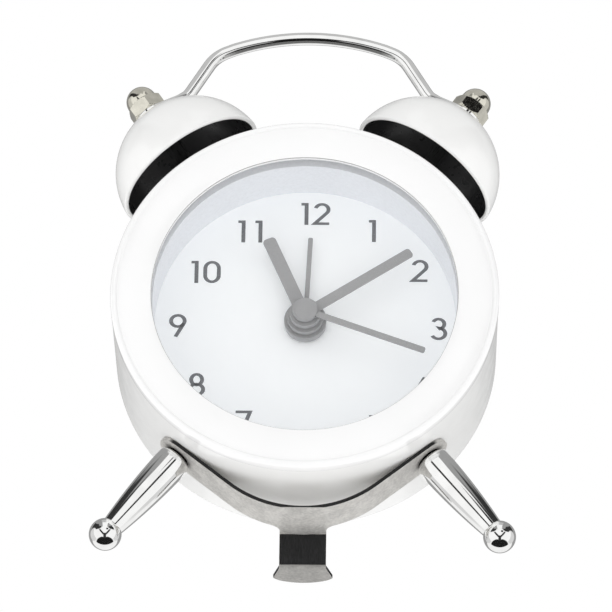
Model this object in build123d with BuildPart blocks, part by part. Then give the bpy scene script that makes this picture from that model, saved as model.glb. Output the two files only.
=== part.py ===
from build123d import *
import os
from math import atan2, cos, degrees, pi, radians, sin, sqrt, tan

os.makedirs("parts", exist_ok=True)

# A small twin-bell alarm clock. Lengths are in millimetres. The origin is on the
# table under the middle of the bells, X to the right of the dial, Y to the back and
# Z up. Depths are measured backwards from the front ring, and radii from the clock's
# own axis, which runs from front to back through the middle of the dial.

# Fits shared by the whole clock
overrun = 1.0
running_clearance = 0.05
seat_clearance = 0.1
layer_gap = 0.3
hole_clearance = 0.15
arc_middle = radians(45)

# Drum and front ring
drum_radius = 30.0
drum_wall = 0.8
drum_front_depth = 2.0
drum_rear_lip = 0.4
drum_edge_round = 0.45
ring_face_width = 6.3
ring_face_sag = 0.3
ring_bead_radius = 0.6
ring_bead_proud = 0.05
ring_valley_depth = 0.25
ring_lip_edge_depth = 0.35
ring_lip_thickness = 1.0
ring_spigot_depth = 5.0
ring_wall = 1.0
ring_hollow_depth = 1.5

# Lens, dial and the white wall between them
lens_thickness = 1.9
lens_seat_width = 1.3
dial_depth = 11.5
dial_thickness = 0.5
dial_hole_radius = 2.6
well_clearance = 0.1
well_wall = 1.4
well_flange_thickness = 1.2
inner_margin = 1.3

# Legs and stand bracket
leg_angle = 39.1
leg_depth = 9.9
leg_length = 17.75
leg_ball_radius = 2.52
leg_root_radius = 2.72
leg_middle_radius = 2.5
leg_neck_radius = 1.72
leg_groove_radius = 2.1
leg_groove_width = 0.45
leg_root_chamfer = 0.3
leg_stud_radius = 1.25
leg_middle_share = 0.48
bracket_thickness = 0.6
bracket_width = 7.2
bracket_bow_height = 3.65
tongue_width = 7.2
tongue_overhang = 1.9
tongue_bend_radius = 0.5
tongue_fillet_radius = 1.3
foot_length = 6.4
foot_end_width = 10.0
foot_end_round = 1.8

# Bells, their posts and the cap nuts
bell_angle = 33.6
bell_depth = 11.8
bell_rim_gap = 3.5
bell_height = 11.2
bell_dome_radius = 12.5
bell_wall = 0.8
bell_flat_radius = 2.9
bell_haunch_share = 0.7
bell_rim_nose_share = 0.33
post_radius = 1.5
post_collar_radius = 3.0
post_collar_height = 1.1
thread_radius = 1.0
nut_sides = 6
nut_across_flats = 5.4
nut_hex_height = 2.2
nut_corner_slope = 30
nut_dome_radius = 2.5
nut_neck_height = 0.5
nut_grip = 1.9
inner_nut_across_flats = 4.4
inner_nut_thickness = 0.8

# Carrying handle
handle_rod_radius = 1.02
handle_top_radius = 35.0
handle_top_reach = 52.1
handle_shoulder_half_width = 15.0
handle_knee_run = 6.8
handle_shoulder_bend = 3.6
handle_knee_bend = 3.0
tab_thickness = 0.8
tab_radius = 2.8
tab_neck_radius = 1.3
tab_length = 5.8

# Hands, front to back: each step is how far a blade stands in front of the one behind it
hand_thickness = 0.3
hand_corner_share = 0.3
second_hand_step = 1.2
second_hand_tip_gap = 3.7
second_hand_width = 1.0
second_cap_radius = 1.95
second_cap_proud = 0.6
second_cap_height = 1.2
second_cap_flat_share = 0.33
second_hand_angle = 110.5
minute_hand_step = 1.3
minute_hand_tip_gap = 3.8
minute_hand_width = 1.6
minute_hub_radius = 2.45
minute_hub_height = 0.9
minute_hand_angle = 56.3
hour_hand_step = 1.2
hour_hand_tip_gap = 8.5
hour_hand_width = 2.1
hour_hub_radius = 2.85
hour_hub_height = 0.9
hour_hand_angle = -23.3
alarm_hand_step = 1.5
alarm_hand_tip_gap = 8.9
alarm_hand_width = 0.75
alarm_hub_radius = 3.3
alarm_hub_height = 1.3
alarm_hand_angle = 2.6

# Nested pipes on the clock's axis
second_arbor_radius = 0.4
pipe_wall = 0.45

# Movement case
movement_half_width = 16.0
movement_top = 19.2
movement_bottom = 9.2
movement_corner_radius = 3.0
movement_wall = 0.6
movement_plate_thickness = 0.8
movement_back_wall = 0.7
train_end_gap = 0.5
housing_gap = 0.8
wheel_thickness = 0.5
layer_height = 0.8
pivot_radius = 0.35
setting_arbor_radius = 0.6

# Wheel centres and tooth counts
train_distance = 7.8
rotor_distance = 6.0
alarm_distance = 8.4
third_wheel_angle = 180.0
intermediate_wheel_angle = 110.0
rotor_angle = 150.0
motion_wheel_angle = 0.0
alarm_arbor_angle = 60.0
time_arbor_angle = 40.0
rotor_teeth = 6
intermediate_teeth = 30
intermediate_pinion_teeth = 6
seconds_teeth = 36
seconds_pinion_teeth = 6
third_teeth = 45
third_pinion_teeth = 6
centre_teeth = 48
cannon_teeth = 8
motion_teeth = 24
motion_pinion_teeth = 6
hour_teeth = 24
time_pinion_teeth = 6
alarm_pinion_teeth = 12
alarm_teeth = 24
tooth_tip_share = 0.80
tooth_root_share = 1.10
tooth_widths_shares = (0.50, 0.40, 0.16)

# Rotor, coil and circuit
rotor_magnet_radius = 2.5
rotor_magnet_height = 1.6
stator_thickness = 0.6
stator_ring_width = 1.0
stator_air_gap = 0.5
stator_bar_width = 2.2
coil_length = 12.0
coil_radius = 1.8
coil_flange_radius = 2.05
coil_flange_thickness = 0.7
coil_core_width = 1.8
coil_offset = 2.0
coil_rise = 6.0
motion_post_radius = 0.45
board_x = 9.4
board_rise = 14.2
board_width = 9.6
board_height = 6.6
board_thickness = 0.8
chip_radius = 1.8
chip_place_share = 0.25
chip_height = 0.7
crystal_radius = 0.9
crystal_length = 5.6
buzzer_radius = 4.5
buzzer_height = 4.0
buzzer_port_radius = 0.9
buzzer_x = -14.2
buzzer_drop = 15.4
sound_hole_radius = 0.5
sound_hole_reach = 2.3
sound_hole_count = 6

# Button cell, its cup and its twist door
cell_radius = 5.8
cell_height = 5.4
cell_cap_radius = 4.9
cell_cap_height = 0.9
cell_drop = 17.5
cup_clearance = 0.5
cup_front_gap = 0.9
cup_floor_thickness = 0.5
cell_play = 0.4
cup_ledge_width = 0.9
cup_wall = 0.8
door_turn_angle = 45.0
door_lug_width = 2.2
door_lug_thickness = 0.4
door_ledge_thickness = 0.4
door_groove_height = 0.7
door_clearance = 0.15
door_neck_clearance = 0.2
coin_slot_length = 8.0
coin_slot_width = 1.2
coin_slot_depth = 0.3
contact_thickness = 0.2
contact_width = 3.0
contact_length = 8.0

# Rear cover, its screws, knobs and switch
cover_thickness = 0.8
cover_skirt_wall = 1.2
cover_screw_count = 3
first_screw_angle = 90.0
cover_boss_radius = 1.6
cover_boss_inset = 0.4
screw_radius = 0.8
screw_head_radius = 1.4
screw_head_height = 0.6
screw_slot_width = 0.35
clamp_post_radius = 0.8
clamp_post_inset = 2.0
knob_radius = 3.3
knob_height = 2.1
knob_gap = 0.3
knob_bore_share = 0.67
knob_flute_radius = 0.4
knob_flute_count = 14
switch_x = -9.8
switch_rise = 14.0
switch_travel = 3.6
switch_stem_length = 2.8
switch_stem_width = 1.8
switch_plate_length = 7.6
switch_plate_width = 3.6
switch_plate_thickness = 0.4
switch_thumb_length = 4.6
switch_thumb_width = 3.2
switch_thumb_height = 1.1
switch_groove_count = 4
switch_rib_width = 0.5

# The clock's axis stands at the height that its legs give it
leg_reach = drum_radius + leg_length
bell_rim_reach = drum_radius + bell_rim_gap
case_height = leg_reach * cos(radians(leg_angle)) + leg_ball_radius
drum_bore = drum_radius - drum_wall
ring_opening_radius = drum_radius - ring_face_width
ring_outer_radius = drum_radius + ring_bead_proud
lens_radius = ring_opening_radius + lens_seat_width
lens_back = ring_lip_thickness + lens_thickness
inner_radius = drum_bore - inner_margin
cover_screw_reach = inner_radius - cover_boss_radius - cover_boss_inset
dial_back = dial_depth + dial_thickness
plate_back = dial_back + movement_plate_thickness
well_bore = ring_opening_radius - well_clearance


def across(depth):
    """Plane across the clock at a depth, seen from the front, centred on its axis."""
    return Plane(origin=(0, depth - bell_depth, case_height), x_dir=(1, 0, 0), z_dir=(0, -1, 0))


def along():
    """Half-section plane: x is the depth, y the radius from the clock's axis."""
    return Plane(origin=(0, -bell_depth, case_height), x_dir=(0, 1, 0), z_dir=(1, 0, 0))


def spoke(angle, depth):
    """Plane through a spoke of the clock: x runs outwards, y across it."""
    turn = radians(angle)
    return Plane(
        origin=(0, depth - bell_depth, case_height),
        x_dir=(sin(turn), 0, cos(turn)),
        z_dir=(0, -1, 0),
    )


def spoke_end(angle, depth, reach):
    """Plane square to a spoke: x lies across the spoke, y runs to the back."""
    turn = radians(angle)
    outward = (sin(turn), 0, cos(turn))
    return Plane(
        origin=(reach * sin(turn), depth - bell_depth, case_height + reach * cos(turn)),
        x_dir=(cos(turn), 0, -sin(turn)),
        z_dir=outward,
    )


clock_axis = Axis((0, 0, case_height), (0, 1, 0))


def spoke_axis(angle, depth):
    """Centre line of a spoke."""
    turn = radians(angle)
    return Axis((0, depth - bell_depth, case_height), (sin(turn), 0, cos(turn)))


def polar(reach, angle, start=(0.0, 0.0)):
    """Point across the clock, from its own start point."""
    return (start[0] + reach * cos(radians(angle)), start[1] + reach * sin(radians(angle)))


def save(piece, name):
    """Names a finished piece and writes its file."""
    piece.part.label = name
    export_step(piece.part, f"parts/{name}.step")


# Wheel centres, across the clock
centre = (0.0, 0.0)
third_at = polar(train_distance, third_wheel_angle)
intermediate_at = polar(train_distance, intermediate_wheel_angle)
rotor_at = polar(rotor_distance, rotor_angle, intermediate_at)
motion_at = polar(train_distance, motion_wheel_angle)
alarm_arbor_at = polar(alarm_distance, alarm_arbor_angle)
motion_module = 2 * train_distance / (cannon_teeth + motion_teeth)
time_distance = motion_module * (time_pinion_teeth + motion_teeth) / 2
time_arbor_at = polar(time_distance, time_arbor_angle, motion_at)

# Layers of the movement, each named by the depth of its front face
alarm_layer = plate_back + layer_gap
hour_layer = alarm_layer + layer_height
motion_layer = hour_layer + layer_height
centre_layer = motion_layer + layer_height
third_layer = centre_layer + layer_height
seconds_layer = third_layer + layer_height
intermediate_layer = seconds_layer + layer_height
housing_inside = intermediate_layer + wheel_thickness + train_end_gap
housing_back = housing_inside + movement_back_wall

# The cover stands behind the taller of two stacks: the movement, or the cell in its cup
cell_stack = cell_play + cell_height + running_clearance + contact_thickness
door_stack = door_lug_thickness + door_clearance + door_ledge_thickness
cup_stack = cup_front_gap + cup_floor_thickness + cell_stack + door_stack
cover_depth = max(housing_back + housing_gap, dial_back + cup_stack)
cover_back = cover_depth + cover_thickness
drum_depth = cover_back + drum_rear_lip
cup_floor_back = cover_depth - door_stack - cell_stack
cup_floor_depth = cup_floor_back - cup_floor_thickness

# Depth of each hand's blade, from the dial forwards
alarm_hand_depth = dial_depth - alarm_hand_step
hour_hand_depth = alarm_hand_depth - hour_hand_step
minute_hand_depth = hour_hand_depth - minute_hand_step
second_hand_depth = minute_hand_depth - second_hand_step
second_cap_depth = second_hand_depth - second_cap_proud


def module_of(distance, teeth, mate_teeth):
    """Tooth size that brings two wheels into mesh at a distance."""
    return 2 * distance / (teeth + mate_teeth)


def phase_of(teeth, at, mate_teeth, mate_at, mate_phase):
    """Turn, in degrees, that puts a gap of this wheel over a tooth of its mate."""
    towards = degrees(atan2(at[1] - mate_at[1], at[0] - mate_at[0]))
    mate_part = (towards - mate_phase) * mate_teeth / 360
    return towards + 180 - (0.5 - mate_part) * 360 / teeth


def toothed_outline(at, teeth, module, phase):
    """Points round a wheel at its place: root, flank and tip of each tooth."""
    pitch_radius = module * teeth / 2
    radii = (
        pitch_radius - tooth_root_share * module,
        pitch_radius,
        pitch_radius + tooth_tip_share * module,
    )
    points = []
    for tooth in range(teeth):
        middle = radians(phase) + 2 * pi * tooth / teeth
        rising = [(radius, -share) for radius, share in zip(radii, tooth_widths_shares)]
        falling = [(radius, share) for radius, share in zip(radii, tooth_widths_shares)]
        for radius, share in rising + falling[::-1]:
            turn = middle + share * pi / teeth
            points.append((at[0] + radius * cos(turn), at[1] + radius * sin(turn)))
    return points


def toothed_layer(depth, at, teeth, module, phase):
    """One toothed wheel of the open builder, in its layer."""
    with BuildSketch(across(depth)) as outline:
        with BuildLine():
            Polyline(*toothed_outline(at, teeth, module, phase), close=True)
        make_face()
    extrude(outline.sketch, amount=-wheel_thickness)


def disc(depth, height, radius, at=centre, mode=Mode.ADD):
    """Round plate, shaft or hole of the open builder, from a depth backwards."""
    with BuildSketch(across(depth)) as outline:
        with Locations(at):
            Circle(radius)
    extrude(outline.sketch, amount=-height, mode=mode)


# Drum: a drawn steel tube with a rolled rear edge and four holes for posts and legs
with BuildPart() as case_shell:
    with BuildSketch(along()):
        with BuildLine():
            Polyline(
                (drum_depth - drum_edge_round, drum_radius),
                (drum_front_depth, drum_radius),
                (drum_front_depth, drum_bore),
                (drum_depth, drum_bore),
                (drum_depth, drum_radius - drum_edge_round),
            )
            RadiusArc(
                (drum_depth, drum_radius - drum_edge_round),
                (drum_depth - drum_edge_round, drum_radius),
                -drum_edge_round,
            )
        make_face()
    revolve(axis=clock_axis)
    for side in (-1, 1):
        with BuildSketch(spoke_end(side * bell_angle, bell_depth, drum_bore - overrun)):
            Circle(thread_radius + hole_clearance)
        extrude(amount=drum_wall + 2 * overrun, mode=Mode.SUBTRACT)
        with BuildSketch(spoke_end(180 - side * leg_angle, leg_depth, drum_bore - overrun)):
            Circle(leg_stud_radius + hole_clearance)
        extrude(amount=drum_wall + 2 * overrun, mode=Mode.SUBTRACT)
save(case_shell, "case_shell")

# Front ring: a domed face, a bead round its edge, a spigot that plugs the drum and an
# inner wall that holds the lens
bead_centre = (ring_bead_radius + ring_bead_proud, ring_outer_radius - ring_bead_radius)
valley_back = bead_centre[0] - ring_valley_depth
valley = (ring_valley_depth, bead_centre[1] - sqrt(ring_bead_radius**2 - valley_back**2))
spigot_radius = drum_bore - running_clearance
recess_radius = lens_radius + well_clearance
with BuildPart() as front_bezel:
    with BuildSketch(along()):
        with BuildLine():
            lip = (ring_lip_edge_depth, ring_opening_radius)
            face_middle = (
                (lip[0] + valley[0]) / 2 - ring_face_sag,
                (lip[1] + valley[1]) / 2,
            )
            ThreePointArc(lip, face_middle, valley)
            bead_side = (bead_centre[0], ring_outer_radius)
            bead_nose = (
                bead_centre[0] - ring_bead_radius * cos(arc_middle),
                bead_centre[1] + ring_bead_radius * sin(arc_middle),
            )
            ThreePointArc(valley, bead_nose, bead_side)
            Polyline(
                bead_side,
                (drum_front_depth, ring_outer_radius),
                (drum_front_depth, spigot_radius),
                (ring_spigot_depth, spigot_radius),
                (ring_spigot_depth, spigot_radius - ring_wall),
                (ring_hollow_depth, spigot_radius - ring_wall),
                (ring_hollow_depth, recess_radius + ring_wall),
                (ring_spigot_depth, recess_radius + ring_wall),
                (ring_spigot_depth, recess_radius),
                (ring_lip_thickness, recess_radius),
                (ring_lip_thickness, ring_opening_radius),
                lip,
            )
        make_face()
    revolve(axis=clock_axis)
save(front_bezel, "front_bezel")

# Lens: a flat clear disc behind the ring's lip
with BuildPart() as lens:
    disc(ring_lip_thickness, lens_thickness, lens_radius)
save(lens, "lens")

# Dial well: the white wall from the lens down to the dial, with the flange under it
with BuildPart() as dial_well:
    with BuildSketch(along()):
        with BuildLine():
            Polyline(
                (lens_back, well_bore),
                (lens_back, well_bore + well_wall),
                (dial_depth - well_flange_thickness, well_bore + well_wall),
                (dial_depth - well_flange_thickness, inner_radius),
                (dial_depth, inner_radius),
                (dial_depth, well_bore),
                close=True,
            )
        make_face()
    revolve(axis=clock_axis)
    with BuildSketch(across(dial_depth - well_flange_thickness - overrun)):
        with PolarLocations(cover_screw_reach, cover_screw_count, first_screw_angle):
            Circle(screw_radius + running_clearance)
    extrude(amount=-(well_flange_thickness + 2 * overrun), mode=Mode.SUBTRACT)
save(dial_well, "dial_well")

# Dial: a thin plate with the hole for the pipes and three screw holes
with BuildPart() as dial_plate:
    disc(dial_depth, dial_thickness, inner_radius)
    disc(dial_depth, dial_thickness, dial_hole_radius, mode=Mode.SUBTRACT)
    with BuildSketch(across(dial_depth)):
        with PolarLocations(cover_screw_reach, cover_screw_count, first_screw_angle):
            Circle(screw_radius + hole_clearance)
    extrude(amount=-dial_thickness, mode=Mode.SUBTRACT)
save(dial_plate, "dial_plate")

# Nested pipes: each runs in the next one out
minute_bore = second_arbor_radius + running_clearance
minute_pipe_radius = minute_bore + pipe_wall
hour_bore = minute_pipe_radius + running_clearance
hour_pipe_radius = hour_bore + pipe_wall
alarm_bore = hour_pipe_radius + running_clearance
alarm_pipe_radius = alarm_bore + pipe_wall
bush_bore = alarm_pipe_radius + running_clearance


def hand(depth, hub_radius, hub_front, hub_height, reach, width, angle, bore):
    """A hand: a round-ended blade on a hub that is pushed on its pipe."""
    turn = 90 - angle
    middle = polar(reach / 2, turn)
    disc(hub_front, hub_height, hub_radius)
    with BuildSketch(across(depth)) as blade:
        with Locations(Location(middle, turn)):
            RectangleRounded(reach, width, width * hand_corner_share)
    extrude(blade.sketch, amount=-hand_thickness)
    disc(hub_front, hub_height, bore + running_clearance, mode=Mode.SUBTRACT)


# Alarm hand, hour hand and minute hand, each on its pipe
with BuildPart() as alarm_hand:
    alarm_hub_front = alarm_hand_depth - layer_gap
    hand(
        alarm_hand_depth, alarm_hub_radius, alarm_hub_front, alarm_hub_height,
        well_bore - alarm_hand_tip_gap, alarm_hand_width, alarm_hand_angle, alarm_pipe_radius,
    )
save(alarm_hand, "alarm_hand")

with BuildPart() as hour_hand:
    hour_hub_front = hour_hand_depth - layer_gap
    hand(
        hour_hand_depth, hour_hub_radius, hour_hub_front, hour_hub_height,
        well_bore - hour_hand_tip_gap, hour_hand_width, hour_hand_angle, hour_pipe_radius,
    )
save(hour_hand, "hour_hand")

with BuildPart() as minute_hand:
    minute_hub_front = minute_hand_depth - layer_gap
    hand(
        minute_hand_depth, minute_hub_radius, minute_hub_front, minute_hub_height,
        well_bore - minute_hand_tip_gap, minute_hand_width, minute_hand_angle, minute_pipe_radius,
    )
save(minute_hand, "minute_hand")

# Second hand: a slim blade under a domed cap that closes the stack
with BuildPart() as second_hand:
    cap_back = second_cap_depth + second_cap_height
    with BuildSketch(along()):
        with BuildLine():
            dome_start = (second_cap_depth + layer_gap, second_cap_radius)
            dome_top = (second_cap_depth, second_cap_radius * second_cap_flat_share)
            Polyline((second_cap_depth, 0), dome_top, dome_start, (cap_back, second_cap_radius))
            Polyline((cap_back, second_cap_radius), (cap_back, 0), (second_cap_depth, 0))
        make_face()
    revolve(axis=clock_axis)
    blade_turn = 90 - second_hand_angle
    second_hand_reach = well_bore - second_hand_tip_gap
    with BuildSketch(across(second_hand_depth)):
        with Locations(Location(polar(second_hand_reach / 2, blade_turn), blade_turn)):
            RectangleRounded(second_hand_reach, second_hand_width, second_hand_width * hand_corner_share)
    extrude(amount=-hand_thickness)
    arbor_hole_radius = second_arbor_radius + running_clearance
    disc(second_hand_depth, cap_back - second_hand_depth, arbor_hole_radius, mode=Mode.SUBTRACT)
save(second_hand, "second_hand")

# Stand bracket: a bent strip whose arms lie against the drum under the legs, and whose
# tongue drops from the middle of its rear edge to a flared foot
leg_turn = radians(leg_angle)
bracket_seat = drum_radius + running_clearance
bracket_back_seat = bracket_seat + bracket_thickness
bracket_front = leg_depth - bracket_width / 2
bracket_back = leg_depth + bracket_width / 2
inner_drop = bracket_seat + bracket_bow_height
bracket_drop = inner_drop + bracket_thickness
bow_radius = (bracket_seat - cos(leg_turn) * inner_drop) / (1 - cos(leg_turn))
bow_rise = inner_drop - bow_radius
arm_length = sin(leg_turn) * bow_rise
tongue_front = bracket_back + tongue_overhang
tongue_back = tongue_front + bracket_thickness
foot_back = tongue_front + foot_length
with BuildPart() as stand_bracket:
    with BuildSketch(across(bracket_front)):
        with BuildLine():
            bow_ends = []
            for radius in (bow_radius, bow_radius + bracket_thickness):
                right_end = (radius * sin(leg_turn), -bow_rise - radius * cos(leg_turn))
                left_end = (-right_end[0], right_end[1])
                ThreePointArc(left_end, (0, -bow_rise - radius), right_end)
                bow_ends.append((left_end, right_end))
            for inner_end, outer_end in zip(*bow_ends):
                Line(inner_end, outer_end)
        make_face()
    extrude(amount=-(tongue_back - bracket_front))
    with BuildSketch(Plane.XY):
        with Locations((0, leg_depth - bell_depth)):
            Rectangle(2 * bracket_drop, bracket_width)
        with Locations((0, tongue_back / 2 + bracket_front / 2 - bell_depth)):
            Rectangle(tongue_width, tongue_back - bracket_front)
        with Locations((0, bracket_back + tongue_fillet_radius / 2 - bell_depth)):
            Rectangle(tongue_width + 2 * tongue_fillet_radius, tongue_fillet_radius)
        for side in (-1, 1):
            fillet_x = side * (tongue_width / 2 + tongue_fillet_radius)
            with Locations((fillet_x, bracket_back + tongue_fillet_radius - bell_depth)):
                Circle(tongue_fillet_radius, mode=Mode.SUBTRACT)
    extrude(amount=case_height, mode=Mode.INTERSECT)
    for side in (-1, 1):
        with BuildSketch(spoke_end(180 - side * leg_angle, leg_depth, bracket_seat)):
            with Locations((side * arm_length / 2, 0)):
                Rectangle(arm_length, bracket_width)
            Circle(bracket_width / 2)
            Circle(leg_stud_radius + hole_clearance, mode=Mode.SUBTRACT)
        extrude(amount=bracket_thickness)

# Foot of the bracket, bent back from the tongue and flared to a rounded end
tongue_top = -(bracket_drop - bracket_thickness / 2)
outer_bend = tongue_bend_radius + bracket_thickness
with BuildPart() as bracket_foot:
    with BuildSketch(along()):
        with BuildLine():
            front_line = FilletPolyline(
                (tongue_front, tongue_top),
                (tongue_front, -case_height),
                (foot_back, -case_height),
                radius=outer_bend,
            )
            back_line = FilletPolyline(
                (tongue_back, tongue_top),
                (tongue_back, bracket_thickness - case_height),
                (foot_back, bracket_thickness - case_height),
                radius=tongue_bend_radius,
            )
            Line(front_line @ 0, back_line @ 0)
            Line(front_line @ 1, back_line @ 1)
        make_face()
    extrude(amount=foot_end_width / 2, both=True)
    with BuildSketch(Plane.XY):
        with BuildLine():
            half_tongue = tongue_width / 2
            half_foot = foot_end_width / 2
            flare_start = tongue_front + outer_bend - bell_depth
            flare_end = foot_back - foot_end_round - bell_depth
            Polyline(
                (-half_foot, flare_end),
                (-half_tongue, flare_start),
                (-half_tongue, tongue_front - bell_depth),
                (half_tongue, tongue_front - bell_depth),
                (half_tongue, flare_start),
                (half_foot, flare_end),
            )
            ThreePointArc((-half_foot, flare_end), (0, foot_back - bell_depth), (half_foot, flare_end))
        make_face()
    extrude(amount=case_height, mode=Mode.INTERSECT)

with stand_bracket:
    add(bracket_foot.part)
save(stand_bracket, "stand_bracket")

# Legs: turned, each with a stud, a groove at its root, a taper and a ball foot
stud_start = inner_radius + seat_clearance
leg_shoulder = bracket_back_seat + leg_groove_width
leg_neck = leg_reach - sqrt(leg_ball_radius**2 - leg_neck_radius**2)
leg_middle = leg_shoulder + leg_middle_share * (leg_neck - leg_shoulder)
for side, name in ((-1, "left_leg"), (1, "right_leg")):
    with BuildPart() as leg:
        with BuildSketch(spoke(180 - side * leg_angle, leg_depth)):
            with BuildLine():
                Polyline(
                    (leg_reach + leg_ball_radius, 0),
                    (stud_start, 0),
                    (stud_start, leg_stud_radius),
                    (bracket_back_seat, leg_stud_radius),
                    (bracket_back_seat, leg_groove_radius),
                    (leg_shoulder, leg_groove_radius),
                    (leg_shoulder, leg_root_radius - leg_root_chamfer),
                    (leg_shoulder + leg_root_chamfer, leg_root_radius),
                )
                ThreePointArc(
                    (leg_shoulder + leg_root_chamfer, leg_root_radius),
                    (leg_middle, leg_middle_radius),
                    (leg_neck, leg_neck_radius),
                )
                ThreePointArc(
                    (leg_neck, leg_neck_radius),
                    (leg_reach, leg_ball_radius),
                    (leg_reach + leg_ball_radius, 0),
                )
            make_face()
        revolve(axis=spoke_axis(180 - side * leg_angle, leg_depth))
    save(leg, name)

# Bells: domed cups on their posts, open towards the drum, with a flat crown
bell_top = bell_rim_reach + bell_height
bell_under = bell_top - bell_wall
dome_centre = bell_top - sqrt(bell_dome_radius**2 - bell_flat_radius**2)
inner_dome_radius = bell_dome_radius - bell_wall


def dome_edge(radius, reach):
    """Distance from the bell's axis to a dome of this radius, at a reach."""
    return sqrt(radius**2 - (reach - dome_centre) ** 2)


def dome_point(radius, edge):
    """Point of a dome at a distance from the bell's axis."""
    return (dome_centre + sqrt(radius**2 - edge**2), edge)


outer_rim = (bell_rim_reach, dome_edge(bell_dome_radius, bell_rim_reach))
inner_rim = (bell_rim_reach, dome_edge(inner_dome_radius, bell_rim_reach))
inner_flat = (bell_under, dome_edge(inner_dome_radius, bell_under))
bell_hole_radius = thread_radius + hole_clearance
for side, name in ((-1, "left_bell"), (1, "right_bell")):
    with BuildPart() as bell:
        with BuildSketch(spoke(side * bell_angle, bell_depth)):
            with BuildLine():
                rim_nose = (
                    bell_rim_reach - bell_wall * bell_rim_nose_share,
                    (outer_rim[1] + inner_rim[1]) / 2,
                )
                outer_haunch = dome_point(bell_dome_radius, outer_rim[1] * bell_haunch_share)
                inner_haunch = dome_point(inner_dome_radius, inner_rim[1] * bell_haunch_share)
                ThreePointArc((bell_top, bell_flat_radius), outer_haunch, outer_rim)
                ThreePointArc(outer_rim, rim_nose, inner_rim)
                ThreePointArc(inner_rim, inner_haunch, inner_flat)
                Polyline(
                    inner_flat,
                    (bell_under, bell_hole_radius),
                    (bell_top, bell_hole_radius),
                    (bell_top, bell_flat_radius),
                )
            make_face()
        revolve(axis=spoke_axis(side * bell_angle, bell_depth))
    save(bell, name)

# Bell posts: a collar on the drum, a shaft up to the bell, and a threaded end
tab_top = bell_top + tab_thickness
thread_top = tab_top + nut_grip
collar_seat = drum_radius + running_clearance
collar_top = collar_seat + post_collar_height
for side, name in ((-1, "left_bell_post"), (1, "right_bell_post")):
    with BuildPart() as post:
        with BuildSketch(spoke(side * bell_angle, bell_depth)):
            with BuildLine():
                Polyline(
                    (stud_start, 0),
                    (stud_start, thread_radius),
                    (collar_seat, thread_radius),
                    (collar_seat, post_collar_radius),
                    (collar_top, post_collar_radius),
                    (collar_top, post_radius),
                    (bell_under, post_radius),
                    (bell_under, thread_radius),
                    (thread_top, thread_radius),
                    (thread_top, 0),
                    close=True,
                )
            make_face()
        revolve(axis=spoke_axis(side * bell_angle, bell_depth))
    save(post, name)

# Cap nuts: a hexagon with its upper corners turned off, under a domed end, one on each post
hex_top = tab_top + nut_hex_height
hex_flat = nut_across_flats / 2
hex_corner = hex_flat / cos(pi / nut_sides)
hex_corner_fall = (hex_corner - hex_flat) * tan(radians(nut_corner_slope))
nut_dome_centre = hex_top + nut_neck_height
with BuildPart() as cap_nuts:
    for side in (-1, 1):
        with BuildSketch(spoke_end(side * bell_angle, bell_depth, tab_top)):
            RegularPolygon(hex_flat, nut_sides, major_radius=False)
            Circle(thread_radius + running_clearance, mode=Mode.SUBTRACT)
        extrude(amount=nut_hex_height)
    for side in (-1, 1):
        with BuildSketch(spoke(side * bell_angle, bell_depth)):
            with BuildLine():
                Polyline(
                    (hex_top, hex_flat),
                    (hex_top, hex_corner),
                    (hex_top - hex_corner_fall, hex_corner),
                    close=True,
                )
            make_face()
        revolve(axis=spoke_axis(side * bell_angle, bell_depth), mode=Mode.SUBTRACT)
        with BuildSketch(spoke(side * bell_angle, bell_depth)):
            with BuildLine():
                Polyline(
                    (nut_dome_centre + nut_dome_radius, 0),
                    (hex_top, 0),
                    (hex_top, nut_dome_radius),
                    (nut_dome_centre, nut_dome_radius),
                )
                ThreePointArc(
                    (nut_dome_centre, nut_dome_radius),
                    (
                        nut_dome_centre + nut_dome_radius * sin(arc_middle),
                        nut_dome_radius * cos(arc_middle),
                    ),
                    (nut_dome_centre + nut_dome_radius, 0),
                )
            make_face()
        revolve(axis=spoke_axis(side * bell_angle, bell_depth))
save(cap_nuts, "cap_nuts")

# Nuts inside the drum that hold the posts and the legs
inner_nut_seat = drum_bore - 2 * seat_clearance - inner_nut_thickness
with BuildPart() as inner_nuts:
    for side in (-1, 1):
        places = (
            (side * bell_angle, bell_depth, thread_radius),
            (180 - side * leg_angle, leg_depth, leg_stud_radius),
        )
        for angle, depth, stud in places:
            with BuildSketch(spoke_end(angle, depth, inner_nut_seat)):
                RegularPolygon(inner_nut_across_flats / 2, nut_sides, major_radius=False)
                Circle(stud + running_clearance, mode=Mode.SUBTRACT)
            extrude(amount=inner_nut_thickness)
save(inner_nuts, "inner_nuts")

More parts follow.
